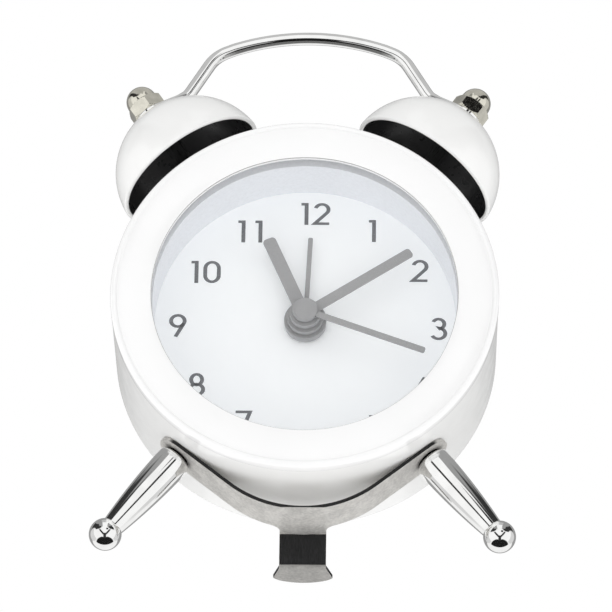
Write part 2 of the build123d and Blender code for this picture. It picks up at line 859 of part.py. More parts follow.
# Carrying handle: one bent rod with a flattened eye at each end
bell_turn = radians(bell_angle)
tab_middle = bell_top + tab_thickness / 2
shoulder_drop = handle_top_radius - sqrt(handle_top_radius**2 - handle_shoulder_half_width**2)
with BuildPart() as carry_handle:
    with BuildLine(across(bell_depth)) as handle_line:
        shoulders = {}
        for side in (-1, 1):
            shoulder = (side * handle_shoulder_half_width, handle_top_reach - shoulder_drop)
            shoulders[side] = shoulder
            runs = []
            for run in (handle_knee_run, tab_length - tab_neck_radius / 2):
                runs.append(
                    (
                        side * (tab_middle * sin(bell_turn) - run * cos(bell_turn)),
                        tab_middle * cos(bell_turn) + run * sin(bell_turn),
                    )
                )
            Line(shoulder, runs[0])
            Line(runs[0], runs[1])
        ThreePointArc(shoulders[-1], (0, handle_top_reach), shoulders[1])
        corners = handle_line.vertices().group_by(Axis.Z)
        fillet(corners[-1], handle_shoulder_bend)
        knees = handle_line.vertices().group_by(Axis.Z)[1]
        fillet(knees, handle_knee_bend)
    path = handle_line.line
    with BuildSketch(Plane(path @ 0, z_dir=path % 0)):
        Circle(handle_rod_radius)
    sweep(path=path)
    for side in (-1, 1):
        with BuildSketch(spoke_end(side * bell_angle, bell_depth, bell_top)):
            Circle(tab_radius)
            with Locations((-side * tab_length, 0)):
                Circle(tab_neck_radius)
            make_hull()
            Circle(thread_radius + hole_clearance, mode=Mode.SUBTRACT)
        extrude(amount=tab_thickness)
save(carry_handle, "carry_handle")

# Movement front plate: carries the front pivots, the bush for the pipes and the post
# that the motion wheel turns on
movement_height = movement_top + movement_bottom
movement_middle = (0, (movement_top - movement_bottom) / 2)
pivot_hole_radius = pivot_radius + running_clearance
setting_hole_radius = setting_arbor_radius + running_clearance


def movement_outline(depth, height, inset, mode=Mode.ADD):
    """Rounded block of the movement, drawn in from its outside by an inset."""
    with BuildSketch(across(depth)) as outline:
        with Locations(movement_middle):
            RectangleRounded(
                2 * (movement_half_width - inset),
                movement_height - 2 * inset,
                movement_corner_radius - inset,
            )
    extrude(outline.sketch, amount=-height, mode=mode)


def pivot_holes(depth, height, middle_radius):
    """Holes for every arbor that crosses the movement."""
    disc(depth, height, middle_radius, mode=Mode.SUBTRACT)
    for at in (third_at, intermediate_at, rotor_at):
        disc(depth, height, pivot_hole_radius, at, Mode.SUBTRACT)
    for at in (time_arbor_at, alarm_arbor_at):
        disc(depth, height, setting_hole_radius, at, Mode.SUBTRACT)


with BuildPart() as movement_plate:
    movement_outline(dial_back, movement_plate_thickness, 0)
    pivot_holes(dial_back, movement_plate_thickness, bush_bore)
    disc(plate_back, motion_layer + wheel_thickness - plate_back, motion_post_radius, motion_at)
save(movement_plate, "movement_plate")

with BuildPart() as movement_housing:
    movement_outline(plate_back, housing_back - plate_back, 0)
    movement_outline(plate_back, housing_inside - plate_back, movement_wall, Mode.SUBTRACT)
    pivot_holes(housing_inside, movement_back_wall, second_arbor_radius + running_clearance)
save(movement_housing, "movement_housing")

# Wheels of the going train, each on its own arbor between the plate and the housing
arbor_front = dial_back + seat_clearance
arbor_back = housing_back - seat_clearance
stator_front = centre_layer - wheel_thickness / 2
rotor_phase = 0.0
rotor_module = module_of(rotor_distance, rotor_teeth, intermediate_teeth)
with BuildPart() as rotor:
    disc(arbor_front, arbor_back - arbor_front, pivot_radius, rotor_at)
    magnet_front = stator_front + (stator_thickness - rotor_magnet_height) / 2
    disc(magnet_front, rotor_magnet_height, rotor_magnet_radius, rotor_at)
    toothed_layer(intermediate_layer, rotor_at, rotor_teeth, rotor_module, rotor_phase)
save(rotor, "rotor")

intermediate_phase = phase_of(
    intermediate_teeth, intermediate_at, rotor_teeth, rotor_at, rotor_phase
)
seconds_module = module_of(train_distance, intermediate_pinion_teeth, seconds_teeth)
intermediate_pinion_phase = 0.0
with BuildPart() as intermediate_wheel:
    disc(arbor_front, arbor_back - arbor_front, pivot_radius, intermediate_at)
    toothed_layer(
        intermediate_layer, intermediate_at, intermediate_teeth, rotor_module, intermediate_phase
    )
    toothed_layer(
        seconds_layer, intermediate_at, intermediate_pinion_teeth, seconds_module,
        intermediate_pinion_phase,
    )
save(intermediate_wheel, "intermediate_wheel")

seconds_phase = phase_of(
    seconds_teeth, centre, intermediate_pinion_teeth, intermediate_at, intermediate_pinion_phase
)
third_module = module_of(train_distance, seconds_pinion_teeth, third_teeth)
seconds_pinion_phase = 0.0
with BuildPart() as seconds_wheel:
    disc(second_hand_depth, arbor_back - second_hand_depth, second_arbor_radius)
    toothed_layer(seconds_layer, centre, seconds_teeth, seconds_module, seconds_phase)
    toothed_layer(third_layer, centre, seconds_pinion_teeth, third_module, seconds_pinion_phase)
save(seconds_wheel, "seconds_wheel")

third_phase = phase_of(third_teeth, third_at, seconds_pinion_teeth, centre, seconds_pinion_phase)
centre_module = module_of(train_distance, third_pinion_teeth, centre_teeth)
third_pinion_phase = 0.0
with BuildPart() as third_wheel:
    disc(arbor_front, arbor_back - arbor_front, pivot_radius, third_at)
    toothed_layer(third_layer, third_at, third_teeth, third_module, third_phase)
    toothed_layer(centre_layer, third_at, third_pinion_teeth, centre_module, third_pinion_phase)
save(third_wheel, "third_wheel")

centre_phase = phase_of(centre_teeth, centre, third_pinion_teeth, third_at, third_pinion_phase)
with BuildPart() as centre_wheel:
    toothed_layer(centre_layer, centre, centre_teeth, centre_module, centre_phase)
    disc(centre_layer, wheel_thickness, minute_pipe_radius + running_clearance, mode=Mode.SUBTRACT)
save(centre_wheel, "centre_wheel")

# Minute arbor: the pipe that carries the minute hand, with the cannon pinion
cannon_phase = 0.0
pipe_tuck = layer_gap / 2
minute_pipe_front = minute_hub_front + pipe_tuck
with BuildPart() as minute_arbor:
    pipe_length = centre_layer + wheel_thickness + pipe_tuck - minute_pipe_front
    disc(minute_pipe_front, pipe_length, minute_pipe_radius)
    toothed_layer(motion_layer, centre, cannon_teeth, motion_module, cannon_phase)
    disc(minute_pipe_front, pipe_length, minute_bore, mode=Mode.SUBTRACT)
save(minute_arbor, "minute_arbor")

# Motion wheel: takes the minute arbor's turn down to the hour wheel
motion_phase = phase_of(motion_teeth, motion_at, cannon_teeth, centre, cannon_phase)
hour_module = module_of(train_distance, motion_pinion_teeth, hour_teeth)
motion_pinion_phase = 180.0
with BuildPart() as motion_wheel:
    motion_height = motion_layer + wheel_thickness - hour_layer
    motion_bore = motion_post_radius + running_clearance
    disc(hour_layer, motion_height, motion_bore + pipe_wall, motion_at)
    toothed_layer(motion_layer, motion_at, motion_teeth, motion_module, motion_phase)
    toothed_layer(hour_layer, motion_at, motion_pinion_teeth, hour_module, motion_pinion_phase)
    disc(hour_layer, motion_height, motion_bore, motion_at, Mode.SUBTRACT)
save(motion_wheel, "motion_wheel")

# Hour wheel and alarm wheel, each with the pipe that carries its hand
hour_phase = phase_of(hour_teeth, centre, motion_pinion_teeth, motion_at, motion_pinion_phase)
hour_pipe_front = hour_hub_front + pipe_tuck
with BuildPart() as hour_wheel:
    pipe_length = hour_layer + wheel_thickness - hour_pipe_front
    disc(hour_pipe_front, pipe_length, hour_pipe_radius)
    toothed_layer(hour_layer, centre, hour_teeth, hour_module, hour_phase)
    disc(hour_pipe_front, pipe_length, hour_bore, mode=Mode.SUBTRACT)
save(hour_wheel, "hour_wheel")

alarm_module = module_of(alarm_distance, alarm_pinion_teeth, alarm_teeth)
alarm_pinion_phase = 0.0
alarm_phase = phase_of(alarm_teeth, centre, alarm_pinion_teeth, alarm_arbor_at, alarm_pinion_phase)
alarm_pipe_front = alarm_hub_front + pipe_tuck
with BuildPart() as alarm_wheel:
    pipe_length = alarm_layer + wheel_thickness - alarm_pipe_front
    disc(alarm_pipe_front, pipe_length, alarm_pipe_radius)
    toothed_layer(alarm_layer, centre, alarm_teeth, alarm_module, alarm_phase)
    disc(alarm_pipe_front, pipe_length, alarm_bore, mode=Mode.SUBTRACT)
save(alarm_wheel, "alarm_wheel")

# Setting arbors and their fluted knobs behind the cover
knob_front = cover_back + knob_gap
setting_arbor_back = knob_front + knob_height * knob_bore_share
time_pinion_phase = phase_of(
    time_pinion_teeth, time_arbor_at, motion_teeth, motion_at, motion_phase
)
setting_arbors = (
    ("time_set_arbor", time_arbor_at, motion_layer, time_pinion_teeth, motion_module,
     time_pinion_phase),
    ("alarm_set_arbor", alarm_arbor_at, alarm_layer, alarm_pinion_teeth, alarm_module,
     alarm_pinion_phase),
)
for name, at, layer, teeth, module, phase in setting_arbors:
    with BuildPart() as arbor:
        disc(arbor_front, setting_arbor_back - arbor_front, setting_arbor_radius, at)
        toothed_layer(layer, at, teeth, module, phase)
    save(arbor, name)

for name, at in (("time_set_knob", time_arbor_at), ("alarm_set_knob", alarm_arbor_at)):
    with BuildPart() as knob:
        with BuildSketch(across(knob_front)):
            with Locations(at):
                Circle(knob_radius)
                with PolarLocations(knob_radius, knob_flute_count):
                    Circle(knob_flute_radius, mode=Mode.SUBTRACT)
        extrude(amount=-knob_height)
        arbor_depth = setting_arbor_back - knob_front
        disc(knob_front, arbor_depth, setting_hole_radius, at, Mode.SUBTRACT)
    save(knob, name)

# Stator, coil and core: the step motor that turns the rotor
coil_at = (rotor_at[0] + coil_offset, rotor_at[1] + coil_rise)
stator_leg_reach = (coil_length + stator_bar_width) / 2
core_length = coil_length + 2 * stator_bar_width
with BuildPart() as stator:
    with BuildSketch(across(stator_front)):
        with Locations(rotor_at):
            Circle(rotor_magnet_radius + stator_air_gap + stator_ring_width)
        with Locations((coil_at[0], rotor_at[1])):
            Rectangle(core_length, stator_bar_width)
        leg_height = coil_rise + coil_core_width / 2
        for side in (-1, 1):
            leg_x = coil_at[0] + side * stator_leg_reach
            with Locations((leg_x, rotor_at[1] + leg_height / 2)):
                Rectangle(stator_bar_width, leg_height)
        with Locations(rotor_at):
            Circle(rotor_magnet_radius + stator_air_gap, mode=Mode.SUBTRACT)
    extrude(amount=-stator_thickness)
save(stator, "stator")

with BuildPart() as coil_core:
    with BuildSketch(across(stator_front - stator_thickness)):
        with Locations(coil_at):
            Rectangle(core_length, coil_core_width)
    extrude(amount=-stator_thickness)
save(coil_core, "coil_core")

coil_end = Plane(
    origin=(
        coil_at[0] - coil_length / 2,
        stator_front - stator_thickness / 2 - bell_depth,
        case_height + coil_at[1],
    ),
    z_dir=(1, 0, 0),
)
with BuildPart() as drive_coil:
    with BuildSketch(coil_end):
        Circle(coil_radius)
    extrude(amount=coil_length)
    for start in (0, coil_length - coil_flange_thickness):
        with BuildSketch(coil_end.offset(start)):
            Circle(coil_flange_radius)
        extrude(amount=coil_flange_thickness)
    with BuildSketch(across(stator_front - stator_thickness - running_clearance)):
        with Locations(coil_at):
            Rectangle(core_length, coil_core_width + 2 * running_clearance)
    extrude(amount=-(stator_thickness + 2 * running_clearance), mode=Mode.SUBTRACT)
save(drive_coil, "drive_coil")

# Circuit board with its potted chip, and the quartz crystal in its can
board_at = (board_x, board_rise)
board_back = plate_back + board_thickness
with BuildPart() as circuit_board:
    with BuildSketch(across(plate_back)):
        with Locations(board_at):
            Rectangle(board_width, board_height)
    extrude(amount=-board_thickness)
    disc(board_back, chip_height, chip_radius, (board_x - board_width * chip_place_share, board_rise))
save(circuit_board, "circuit_board")

crystal_end = Plane(
    origin=(
        board_x + board_width / 2 - crystal_length - seat_clearance,
        board_back + crystal_radius - bell_depth,
        case_height + board_rise + board_height / 2 - crystal_radius,
    ),
    z_dir=(1, 0, 0),
)
with BuildPart() as quartz_crystal:
    with BuildSketch(crystal_end):
        Circle(crystal_radius)
    extrude(amount=crystal_length)
save(quartz_crystal, "quartz_crystal")

# Alarm buzzer: a round sounder against the inside of the rear cover
buzzer_at = (buzzer_x, -buzzer_drop)
with BuildPart() as alarm_buzzer:
    disc(cover_depth - buzzer_height, buzzer_height, buzzer_radius, buzzer_at)
    port_depth = buzzer_height / 2
    disc(cover_depth - port_depth, port_depth, buzzer_port_radius, buzzer_at, Mode.SUBTRACT)
save(alarm_buzzer, "alarm_buzzer")

# Button cell and its two contact strips
cell_at = (0, -cell_drop)
cell_front = cup_floor_back + contact_thickness + running_clearance
cup_radius = cell_radius + cup_clearance
opening_radius = cup_radius + cup_ledge_width
with BuildPart() as button_cell:
    disc(cell_front, cell_height, cell_cap_radius, cell_at)
    disc(cell_front + cell_cap_height, cell_height - cell_cap_height, cell_radius, cell_at)
save(button_cell, "button_cell")

with BuildPart() as negative_contact:
    with BuildSketch(across(cup_floor_back)):
        with Locations(cell_at):
            Rectangle(contact_length, contact_width)
    extrude(amount=-contact_thickness)
save(negative_contact, "negative_contact")

with BuildPart() as positive_contact:
    contact_rise = cell_radius + contact_thickness / 2 + running_clearance
    with BuildSketch(across(cell_front + cell_cap_height)):
        with Locations((cell_at[0], cell_at[1] + contact_rise)):
            Rectangle(contact_width, contact_thickness)
    extrude(amount=-(cell_height - cell_cap_height))
save(positive_contact, "positive_contact")

# Rear cover: a disc in the drum with a skirt, screw bosses, clamp posts, the cup for
# the cell, and openings for the knobs, the switch, the sound and the door
cover_radius = drum_bore - running_clearance
skirt_bore = inner_radius - cover_skirt_wall
switch_at = (switch_x, switch_rise)
slot_middle = (switch_x + switch_travel / 2, switch_rise)
slot_play = 2 * hole_clearance
ledge_front = cover_depth - door_ledge_thickness
groove_front = ledge_front - door_groove_height
groove_radius = opening_radius - seat_clearance
notch_play = 2 * door_neck_clearance
with BuildPart() as rear_cover:
    disc(cover_depth, cover_thickness, cover_radius)
    disc(dial_back, cover_depth - dial_back, inner_radius)
    disc(dial_back, cover_depth - dial_back, skirt_bore, mode=Mode.SUBTRACT)
    disc(cup_floor_depth, cover_depth - cup_floor_depth, opening_radius + cup_wall, cell_at)
    disc(cup_floor_back, cover_back - cup_floor_back, cup_radius, cell_at, Mode.SUBTRACT)
    disc(groove_front, door_groove_height, groove_radius, cell_at, Mode.SUBTRACT)
    disc(cover_depth, cover_thickness, opening_radius, cell_at, Mode.SUBTRACT)
    with BuildSketch(across(ledge_front)):
        with Locations(Location(cell_at, -door_turn_angle)):
            Rectangle(2 * opening_radius, door_lug_width + notch_play)
        with Locations(cell_at):
            Circle(groove_radius, mode=Mode.INTERSECT)
    extrude(amount=-door_ledge_thickness, mode=Mode.SUBTRACT)
    with BuildSketch(across(dial_back)):
        with PolarLocations(cover_screw_reach, cover_screw_count, first_screw_angle):
            Circle(cover_boss_radius)
    extrude(amount=-(cover_depth - dial_back))
    with BuildSketch(across(dial_back)):
        with PolarLocations(cover_screw_reach, cover_screw_count, first_screw_angle):
            Circle(screw_radius + hole_clearance)
    extrude(amount=-(cover_back - dial_back), mode=Mode.SUBTRACT)
    with BuildSketch(across(cover_back - screw_head_height)):
        with PolarLocations(cover_screw_reach, cover_screw_count, first_screw_angle):
            Circle(screw_head_radius + hole_clearance)
    extrude(amount=-screw_head_height, mode=Mode.SUBTRACT)
    with BuildSketch(across(housing_back)):
        with Locations(movement_middle):
            with GridLocations(
                2 * (movement_half_width - clamp_post_inset),
                movement_height - 2 * clamp_post_inset,
                2,
                2,
            ):
                Circle(clamp_post_radius)
    extrude(amount=-(cover_depth - housing_back))
    with BuildSketch(across(cover_depth)):
        with Locations(time_arbor_at, alarm_arbor_at):
            Circle(setting_arbor_radius + hole_clearance)
        with Locations(slot_middle):
            Rectangle(
                switch_stem_length + switch_travel + slot_play, switch_stem_width + slot_play
            )
        with Locations(buzzer_at):
            with PolarLocations(sound_hole_reach, sound_hole_count):
                Circle(sound_hole_radius)
            Circle(sound_hole_radius)
    extrude(amount=-cover_thickness, mode=Mode.SUBTRACT)
save(rear_cover, "rear_cover")

# Battery door: a disc with a coin slot, on a neck whose two lugs lock under the ledge
door_front = cover_depth + door_clearance
neck_radius = cup_radius - door_neck_clearance
lug_front = ledge_front - door_clearance - door_lug_thickness
with BuildPart() as battery_door:
    disc(door_front, cover_back - door_front, opening_radius - door_neck_clearance, cell_at)
    disc(lug_front, door_front - lug_front, neck_radius, cell_at)
    with BuildSketch(across(lug_front)):
        with Locations(cell_at):
            Rectangle(2 * opening_radius, door_lug_width)
            Circle(groove_radius - door_neck_clearance, mode=Mode.INTERSECT)
    extrude(amount=-door_lug_thickness)
    with BuildSketch(across(cover_back - coin_slot_depth)):
        with Locations(cell_at):
            SlotOverall(coin_slot_length, coin_slot_width)
    extrude(amount=-coin_slot_depth, mode=Mode.SUBTRACT)
save(battery_door, "battery_door")

# Cover screws: round slotted heads on plain shanks that reach into the dial well
shank_front = dial_depth - well_flange_thickness + seat_clearance
head_front = cover_back - screw_head_height
with BuildPart() as cover_screws:
    with BuildSketch(across(shank_front)):
        with PolarLocations(cover_screw_reach, cover_screw_count, first_screw_angle):
            Circle(screw_radius)
    extrude(amount=-(head_front - shank_front))
    with BuildSketch(across(head_front)):
        with PolarLocations(cover_screw_reach, cover_screw_count, first_screw_angle):
            Circle(screw_head_radius)
    extrude(amount=-screw_head_height)
    with BuildSketch(across(cover_back - screw_head_height / 2)):
        with PolarLocations(cover_screw_reach, cover_screw_count, first_screw_angle):
            Rectangle(2 * screw_head_radius, screw_slot_width)
    extrude(amount=-screw_head_height / 2, mode=Mode.SUBTRACT)
save(cover_screws, "cover_screws")

# Alarm switch: a ribbed thumb piece on a stem, with a guide plate inside the cover
plate_front = housing_back + (cover_depth - housing_back - switch_plate_thickness) / 2
thumb_front = cover_back + layer_gap / 2
thumb_back = thumb_front + switch_thumb_height
rib_groove = switch_rib_width / 2
with BuildPart() as alarm_switch:
    blocks = (
        (plate_front, switch_plate_thickness, switch_plate_length, switch_plate_width),
        (plate_front, thumb_front - plate_front, switch_stem_length, switch_stem_width),
        (thumb_front, switch_thumb_height, switch_thumb_length, switch_thumb_width),
    )
    for depth, height, length, width in blocks:
        with BuildSketch(across(depth)):
            with Locations(switch_at):
                Rectangle(length, width)
        extrude(amount=-height)
    with BuildSketch(across(thumb_back - rib_groove)):
        with Locations(switch_at):
            with GridLocations(2 * switch_rib_width, 0, switch_groove_count, 1):
                Rectangle(switch_rib_width, switch_thumb_width)
    extrude(amount=-rib_groove, mode=Mode.SUBTRACT)
save(alarm_switch, "alarm_switch")
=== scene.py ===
from functools import partial
from math import atan2, cos, hypot, pi, radians, sin, sqrt, tan

import bmesh
import bpy
from bpy.props import FloatProperty, FloatVectorProperty, IntProperty, PointerProperty
from mathutils import Matrix, Vector


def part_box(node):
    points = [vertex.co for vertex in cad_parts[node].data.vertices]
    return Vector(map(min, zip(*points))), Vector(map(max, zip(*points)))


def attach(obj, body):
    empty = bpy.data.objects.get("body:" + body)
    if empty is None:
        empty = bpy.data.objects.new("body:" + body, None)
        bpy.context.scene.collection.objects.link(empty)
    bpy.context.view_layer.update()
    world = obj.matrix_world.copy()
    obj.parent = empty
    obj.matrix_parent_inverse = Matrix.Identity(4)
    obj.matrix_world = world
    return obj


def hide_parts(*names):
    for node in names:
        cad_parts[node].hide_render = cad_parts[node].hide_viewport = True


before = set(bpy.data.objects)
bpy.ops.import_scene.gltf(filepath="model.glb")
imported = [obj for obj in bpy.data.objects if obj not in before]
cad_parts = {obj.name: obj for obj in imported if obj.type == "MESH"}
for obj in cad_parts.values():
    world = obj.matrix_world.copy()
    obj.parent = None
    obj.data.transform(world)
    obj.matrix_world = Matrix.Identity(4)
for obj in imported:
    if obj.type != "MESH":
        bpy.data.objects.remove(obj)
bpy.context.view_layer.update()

bl_info = {
    "name": "Mini Twin-Bell Alarm Clock",
    "version": (1, 0, 0),
    "blender": (4, 5, 0),
    "location": "View3D > Sidebar > Clock",
    "description": "Dresses a packed twin-bell alarm clock: smooth pieces, finishes, lamps, camera",
    "category": "Object",
}

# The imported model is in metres, and sizes here are written in millimetres
MM = 0.001

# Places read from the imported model: the clock's axis, its front and its main radii and depths
ring_low, ring_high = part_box("front_bezel")
lens_low, lens_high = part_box("lens")
bell_low, bell_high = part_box("right_bell")
FRONT = ring_low.y
AXIS_HEIGHT = (ring_low.z + ring_high.z) / 2
RING_RADIUS = (ring_high.x - ring_low.x) / 2
LENS_RADIUS = (lens_high.x - lens_low.x) / 2
BELL_DEPTH = (bell_low.y + bell_high.y) / 2 - FRONT
DIAL_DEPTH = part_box("dial_plate")[0].y - FRONT

# The spokes on which the bells and the legs stand, from straight up and from straight down
BELL_ANGLE = radians(33.6)
LEG_ANGLE = radians(39.1)

# The bracket's tongue: where it starts over the table, and its width
TONGUE_TOP = 5.35
TONGUE_WIDTH = 7.4

# Thickness of the handle's flattened eyes, between a bell and its cap nut
EYE_THICKNESS = 0.8 * MM

# Corners of an outline that turn more than this are rounded
CORNER_ANGLE = radians(20)
# Edges of a mesh that turn more than this stay sharp
SHARP_ANGLE = radians(38)


def paint(red, green, blue):
    """Colour as it is read off a screen, from 0 to 255, made linear for a shader."""
    channels = []
    for value in (red / 255, green / 255, blue / 255):
        channels.append(value / 12.92 if value <= 0.04045 else ((value + 0.055) / 1.055) ** 2.4)
    return tuple(channels)


def colour_property(name, description, default):
    """Colour that a user can change in the sidebar."""
    return FloatVectorProperty(
        name=name, description=description, default=default, subtype="COLOR", size=3, min=0, max=1
    )


def number_property(name, description, default, **limits):
    """Number that a user can change in the sidebar."""
    return FloatProperty(name=name, description=description, default=default, **limits)


def length_property(name, description, millimetres):
    """Length that a user can change in the sidebar, written in millimetres."""
    return number_property(name, description, millimetres * MM, min=0, unit="LENGTH", precision=5)


def count_property(name, description, default, least, most):
    """Whole number that a user can change in the sidebar."""
    return IntProperty(name=name, description=description, default=default, min=least, max=most)


class ClockSizes(bpy.types.PropertyGroup):
    """Sizes of the pieces that are made here"""

    turned_sides: count_property("Sides", "Facets round a turned piece", 192, 24, 512)
    edge_round: length_property("Edge", "How far a sharp edge is eased", 0.1)
    lip_radius: length_property("Ring Opening", "Radius of the front ring's opening", 23.7)
    bead_radius: length_property("Ring Bead", "Radius of the bead round the front ring", 0.6)
    ring_wall: length_property("Ring Wall", "Wall of the front ring behind its face", 1.0)
    bell_radius: length_property("Bell Dome", "Outer radius of a bell's dome", 12.49)
    bell_wall: length_property("Bell Wall", "Thickness of a bell's wall", 0.8)
    bell_rim_reach: length_property("Bell Rim", "Distance of a bell's rim from the axis", 33.5)
    bell_height: length_property("Bell Height", "Height of a bell over its rim", 11.2)
    leg_reach: length_property("Leg Reach", "Distance of a ball foot from the clock's axis", 47.75)
    ball_radius: length_property("Ball Foot", "Radius of a ball foot", 2.51)
    nut_width: length_property("Nut Width", "Width of a cap nut across its flats", 5.4)
    rod_radius: length_property("Handle Rod", "Radius of the carrying handle's rod", 1.02)
    knob_radius: length_property("Knob", "Radius of a setting knob", 3.3)
    knob_flutes: count_property("Knob Flutes", "Grooves round a setting knob", 14, 3, 40)
    cover_screws: count_property("Cover Screws", "Screws in the rear cover", 3, 2, 8)
    numeral_height: length_property("Numeral Height", "Height of a numeral on the dial", 3.95)
    numeral_stem: length_property("Numeral Stem", "Width of a numeral's upright strokes", 0.62)
    numeral_bar: length_property("Numeral Bar", "Height of a numeral's level strokes", 0.46)


class ClockColours(bpy.types.PropertyGroup):
    """Colours of the clock's finishes"""

    enamel: colour_property("Enamel", "Drum and bells", paint(247, 247, 246))
    ring: colour_property("Ring", "Front ring", paint(252, 252, 252))
    # Painted shade: a grey that stands in for the shadow line at the edge of the ring's opening
    ring_lip: colour_property("Ring Lip", "Edge of the front ring's opening", paint(176, 176, 175))
    bell_inside: colour_property("Bell Inside", "Inside of the bells", paint(40, 40, 41))
    dial: colour_property("Dial", "Dial", paint(252, 254, 255))
    well: colour_property("Well", "Wall between lens and dial", paint(243, 245, 249))
    hands: colour_property("Hands", "Hands", paint(162, 162, 163))
    numerals: colour_property("Numerals", "Printed numerals", paint(112, 114, 117))
    chrome: colour_property("Chrome", "Legs, handle and posts", paint(250, 250, 249))
    nickel: colour_property("Nickel", "Cap nuts", paint(232, 229, 216))
    steel: colour_property("Steel", "Stand bracket", paint(219, 217, 213))
    # Painted shade: the near-black of the bracket's tongue, which also paints the shade on its cut
    # faces and in the legs' grooves
    tongue: colour_property("Tongue", "Darkened tongue of the bracket", paint(46, 46, 47))
    cover: colour_property("Cover", "Rear cover", paint(240, 240, 238))
    knobs: colour_property("Knobs", "Knobs and switch", paint(120, 121, 124))


class ClockStage(bpy.types.PropertyGroup):
    """Camera, lamps and floor"""

    azimuth: number_property(
        "Azimuth", "Camera's turn round the clock", radians(1.0), subtype="ANGLE"
    )
    elevation: number_property(
        "Elevation", "Camera's angle over the table top", radians(-27.58), subtype="ANGLE"
    )
    roll: number_property(
        "Roll", "Camera's turn about its own line of sight", radians(0.8), subtype="ANGLE"
    )
    distance: length_property("Distance", "Camera's distance from its target", 770.55)
    lens_length: number_property("Focal Length", "Camera's focal length in millimetres", 294.1)
    room_light: number_property("Room Light", "Strength of the light from all round", 0.9, min=0)
    key_power: number_property("Key Lamp", "Power of the soft lamp over the front", 0.5, min=0)
    fill_power: number_property("Fill Lamp", "Power of the soft lamp below the camera", 1.3, min=0)
    side_power: number_property("Side Lamps", "Power of either lamp beside the clock", 1.4, min=0)
    floor: colour_property("Floor", "Floor", paint(246, 246, 246))


def chosen(context):
    """The sizes and the colours that are set in the sidebar."""
    return context.scene.clock_sizes, context.scene.clock_colours


# Nodes of materials and of Geometry Nodes trees

# Stretch of a pattern that is the same in every direction
EVEN = (1, 1, 1)


def node(tree, kind, inputs=None, **settings):
    """Adds a node. An input is a value, or a socket to link from."""
    made = tree.nodes.new(kind)
    for key, value in settings.items():
        setattr(made, key, value)
    for key, value in (inputs or {}).items():
        if isinstance(value, bpy.types.NodeSocket):
            tree.links.new(value, made.inputs[key])
        else:
            made.inputs[key].default_value = value
    return made


def result(tree, kind, inputs=None, **settings):
    """Adds a node and gives the first of its outputs that is in use."""
    made = node(tree, kind, inputs, **settings)
    return next(socket for socket in made.outputs if socket.enabled)


def new_finish(name, **values):
    """New material with its shader, and the values that are the same all over."""
    material = bpy.data.materials.new(name)
    material.use_nodes = True
    shader = material.node_tree.nodes["Principled BSDF"]
    for key, value in values.items():
        shader.inputs[key.replace("_", " ").title().replace("Ior", "IOR")].default_value = value
    return material, material.node_tree, shader


def calc(tree, operation, *values):
    """Result of one sum on numbers or sockets."""
    return result(tree, "ShaderNodeMath", dict(enumerate(values)), operation=operation)


def product(tree, first, *others):
    """All the values multiplied."""
    for other in others:
        first = calc(tree, "MULTIPLY", first, other)
    return first


def axes(tree, kind, socket):
    """The x, y and z of a vector that a node of this kind gives."""
    vector = node(tree, kind).outputs[socket]
    split = node(tree, "ShaderNodeSeparateXYZ", {"Vector": vector})
    return [split.outputs[axis] for axis in "XYZ"]


def grain(tree, size, stretch=EVEN, detail=3.0):
    """Random pattern with spots about this many millimetres across."""
    place = node(tree, "ShaderNodeTexCoord").outputs["Object"]
    mapped = result(tree, "ShaderNodeMapping", {"Vector": place, "Scale": stretch})
    return result(tree, "ShaderNodeTexNoise", {
        "Vector": mapped, "Scale": 1 / (size * MM), "Detail": detail,
    })


def ranged(tree, value, low, high, start=0.3, end=0.7):
    """Value brought between two numbers."""
    return result(tree, "ShaderNodeMapRange", {
        "Value": value, "From Min": start, "From Max": end, "To Min": low, "To Max": high,
    })


def rising(tree, value, start, end):
    """0 up to the start and 1 from the end on."""
    return ranged(tree, value, 0.0, 1.0, start, end)


def falling(tree, value, start, end):
    """1 up to the start and 0 from the end on."""
    return ranged(tree, value, 1.0, 0.0, start, end)


def blended(tree, factor, first, second):
    """Colour between two colours."""
    made = node(tree, "ShaderNodeMix", data_type="RGBA")
    sockets = [socket for socket in made.inputs if socket.enabled]
    for socket, value in zip(sockets, (factor, first, second)):
        if isinstance(value, bpy.types.NodeSocket):
            tree.links.new(value, socket)
        elif isinstance(value, (int, float)):
            socket.default_value = value
        else:
            socket.default_value = (*value, 1.0)
    return next(socket for socket in made.outputs if socket.enabled)


def dimmed(colour, share):
    """The same colour at a share of its brightness."""
    return tuple(channel * share for channel in colour)


def covered(name, tone, gloss, relief, **values):
    """Finish from three patterns. The tone is a pattern, a colour and the share to which it dims,
    the gloss a pattern and its least and greatest roughness, and the relief a pattern and its
    depth in millimetres. A pattern is what grain takes."""
    material, tree, shader = new_finish(name, **values)
    pattern, colour, shade = tone
    faded = rising(tree, grain(tree, *pattern), 0.3, 0.7)
    tree.links.new(blended(tree, faded, dimmed(colour, shade), colour), shader.inputs["Base Color"])
    pattern, least, greatest = gloss
    tree.links.new(ranged(tree, grain(tree, *pattern), least, greatest), shader.inputs["Roughness"])
    pattern, depth = relief
    raised(tree, shader, grain(tree, *pattern), depth)
    return material


def raised(tree, shader, height, depth):
    """Bump of this depth in millimetres."""
    bump = result(tree, "ShaderNodeBump", {
        "Height": height, "Strength": 1.0, "Distance": depth * MM,
    })
    tree.links.new(bump, shader.inputs["Normal"])


def enamel(name, colour, roughness=0.2, peel=0.006, coat=0.3):
    """Sprayed or moulded gloss: slight orange peel, uneven gloss and a faint drift of tone."""
    return covered(
        name, ((14.0, EVEN, 1.0), colour, 0.975), ((3.0,), roughness * 0.8, roughness * 1.25),
        ((0.7, EVEN, 2.0), peel), coat_weight=coat, coat_roughness=0.05, ior=1.5,
    )


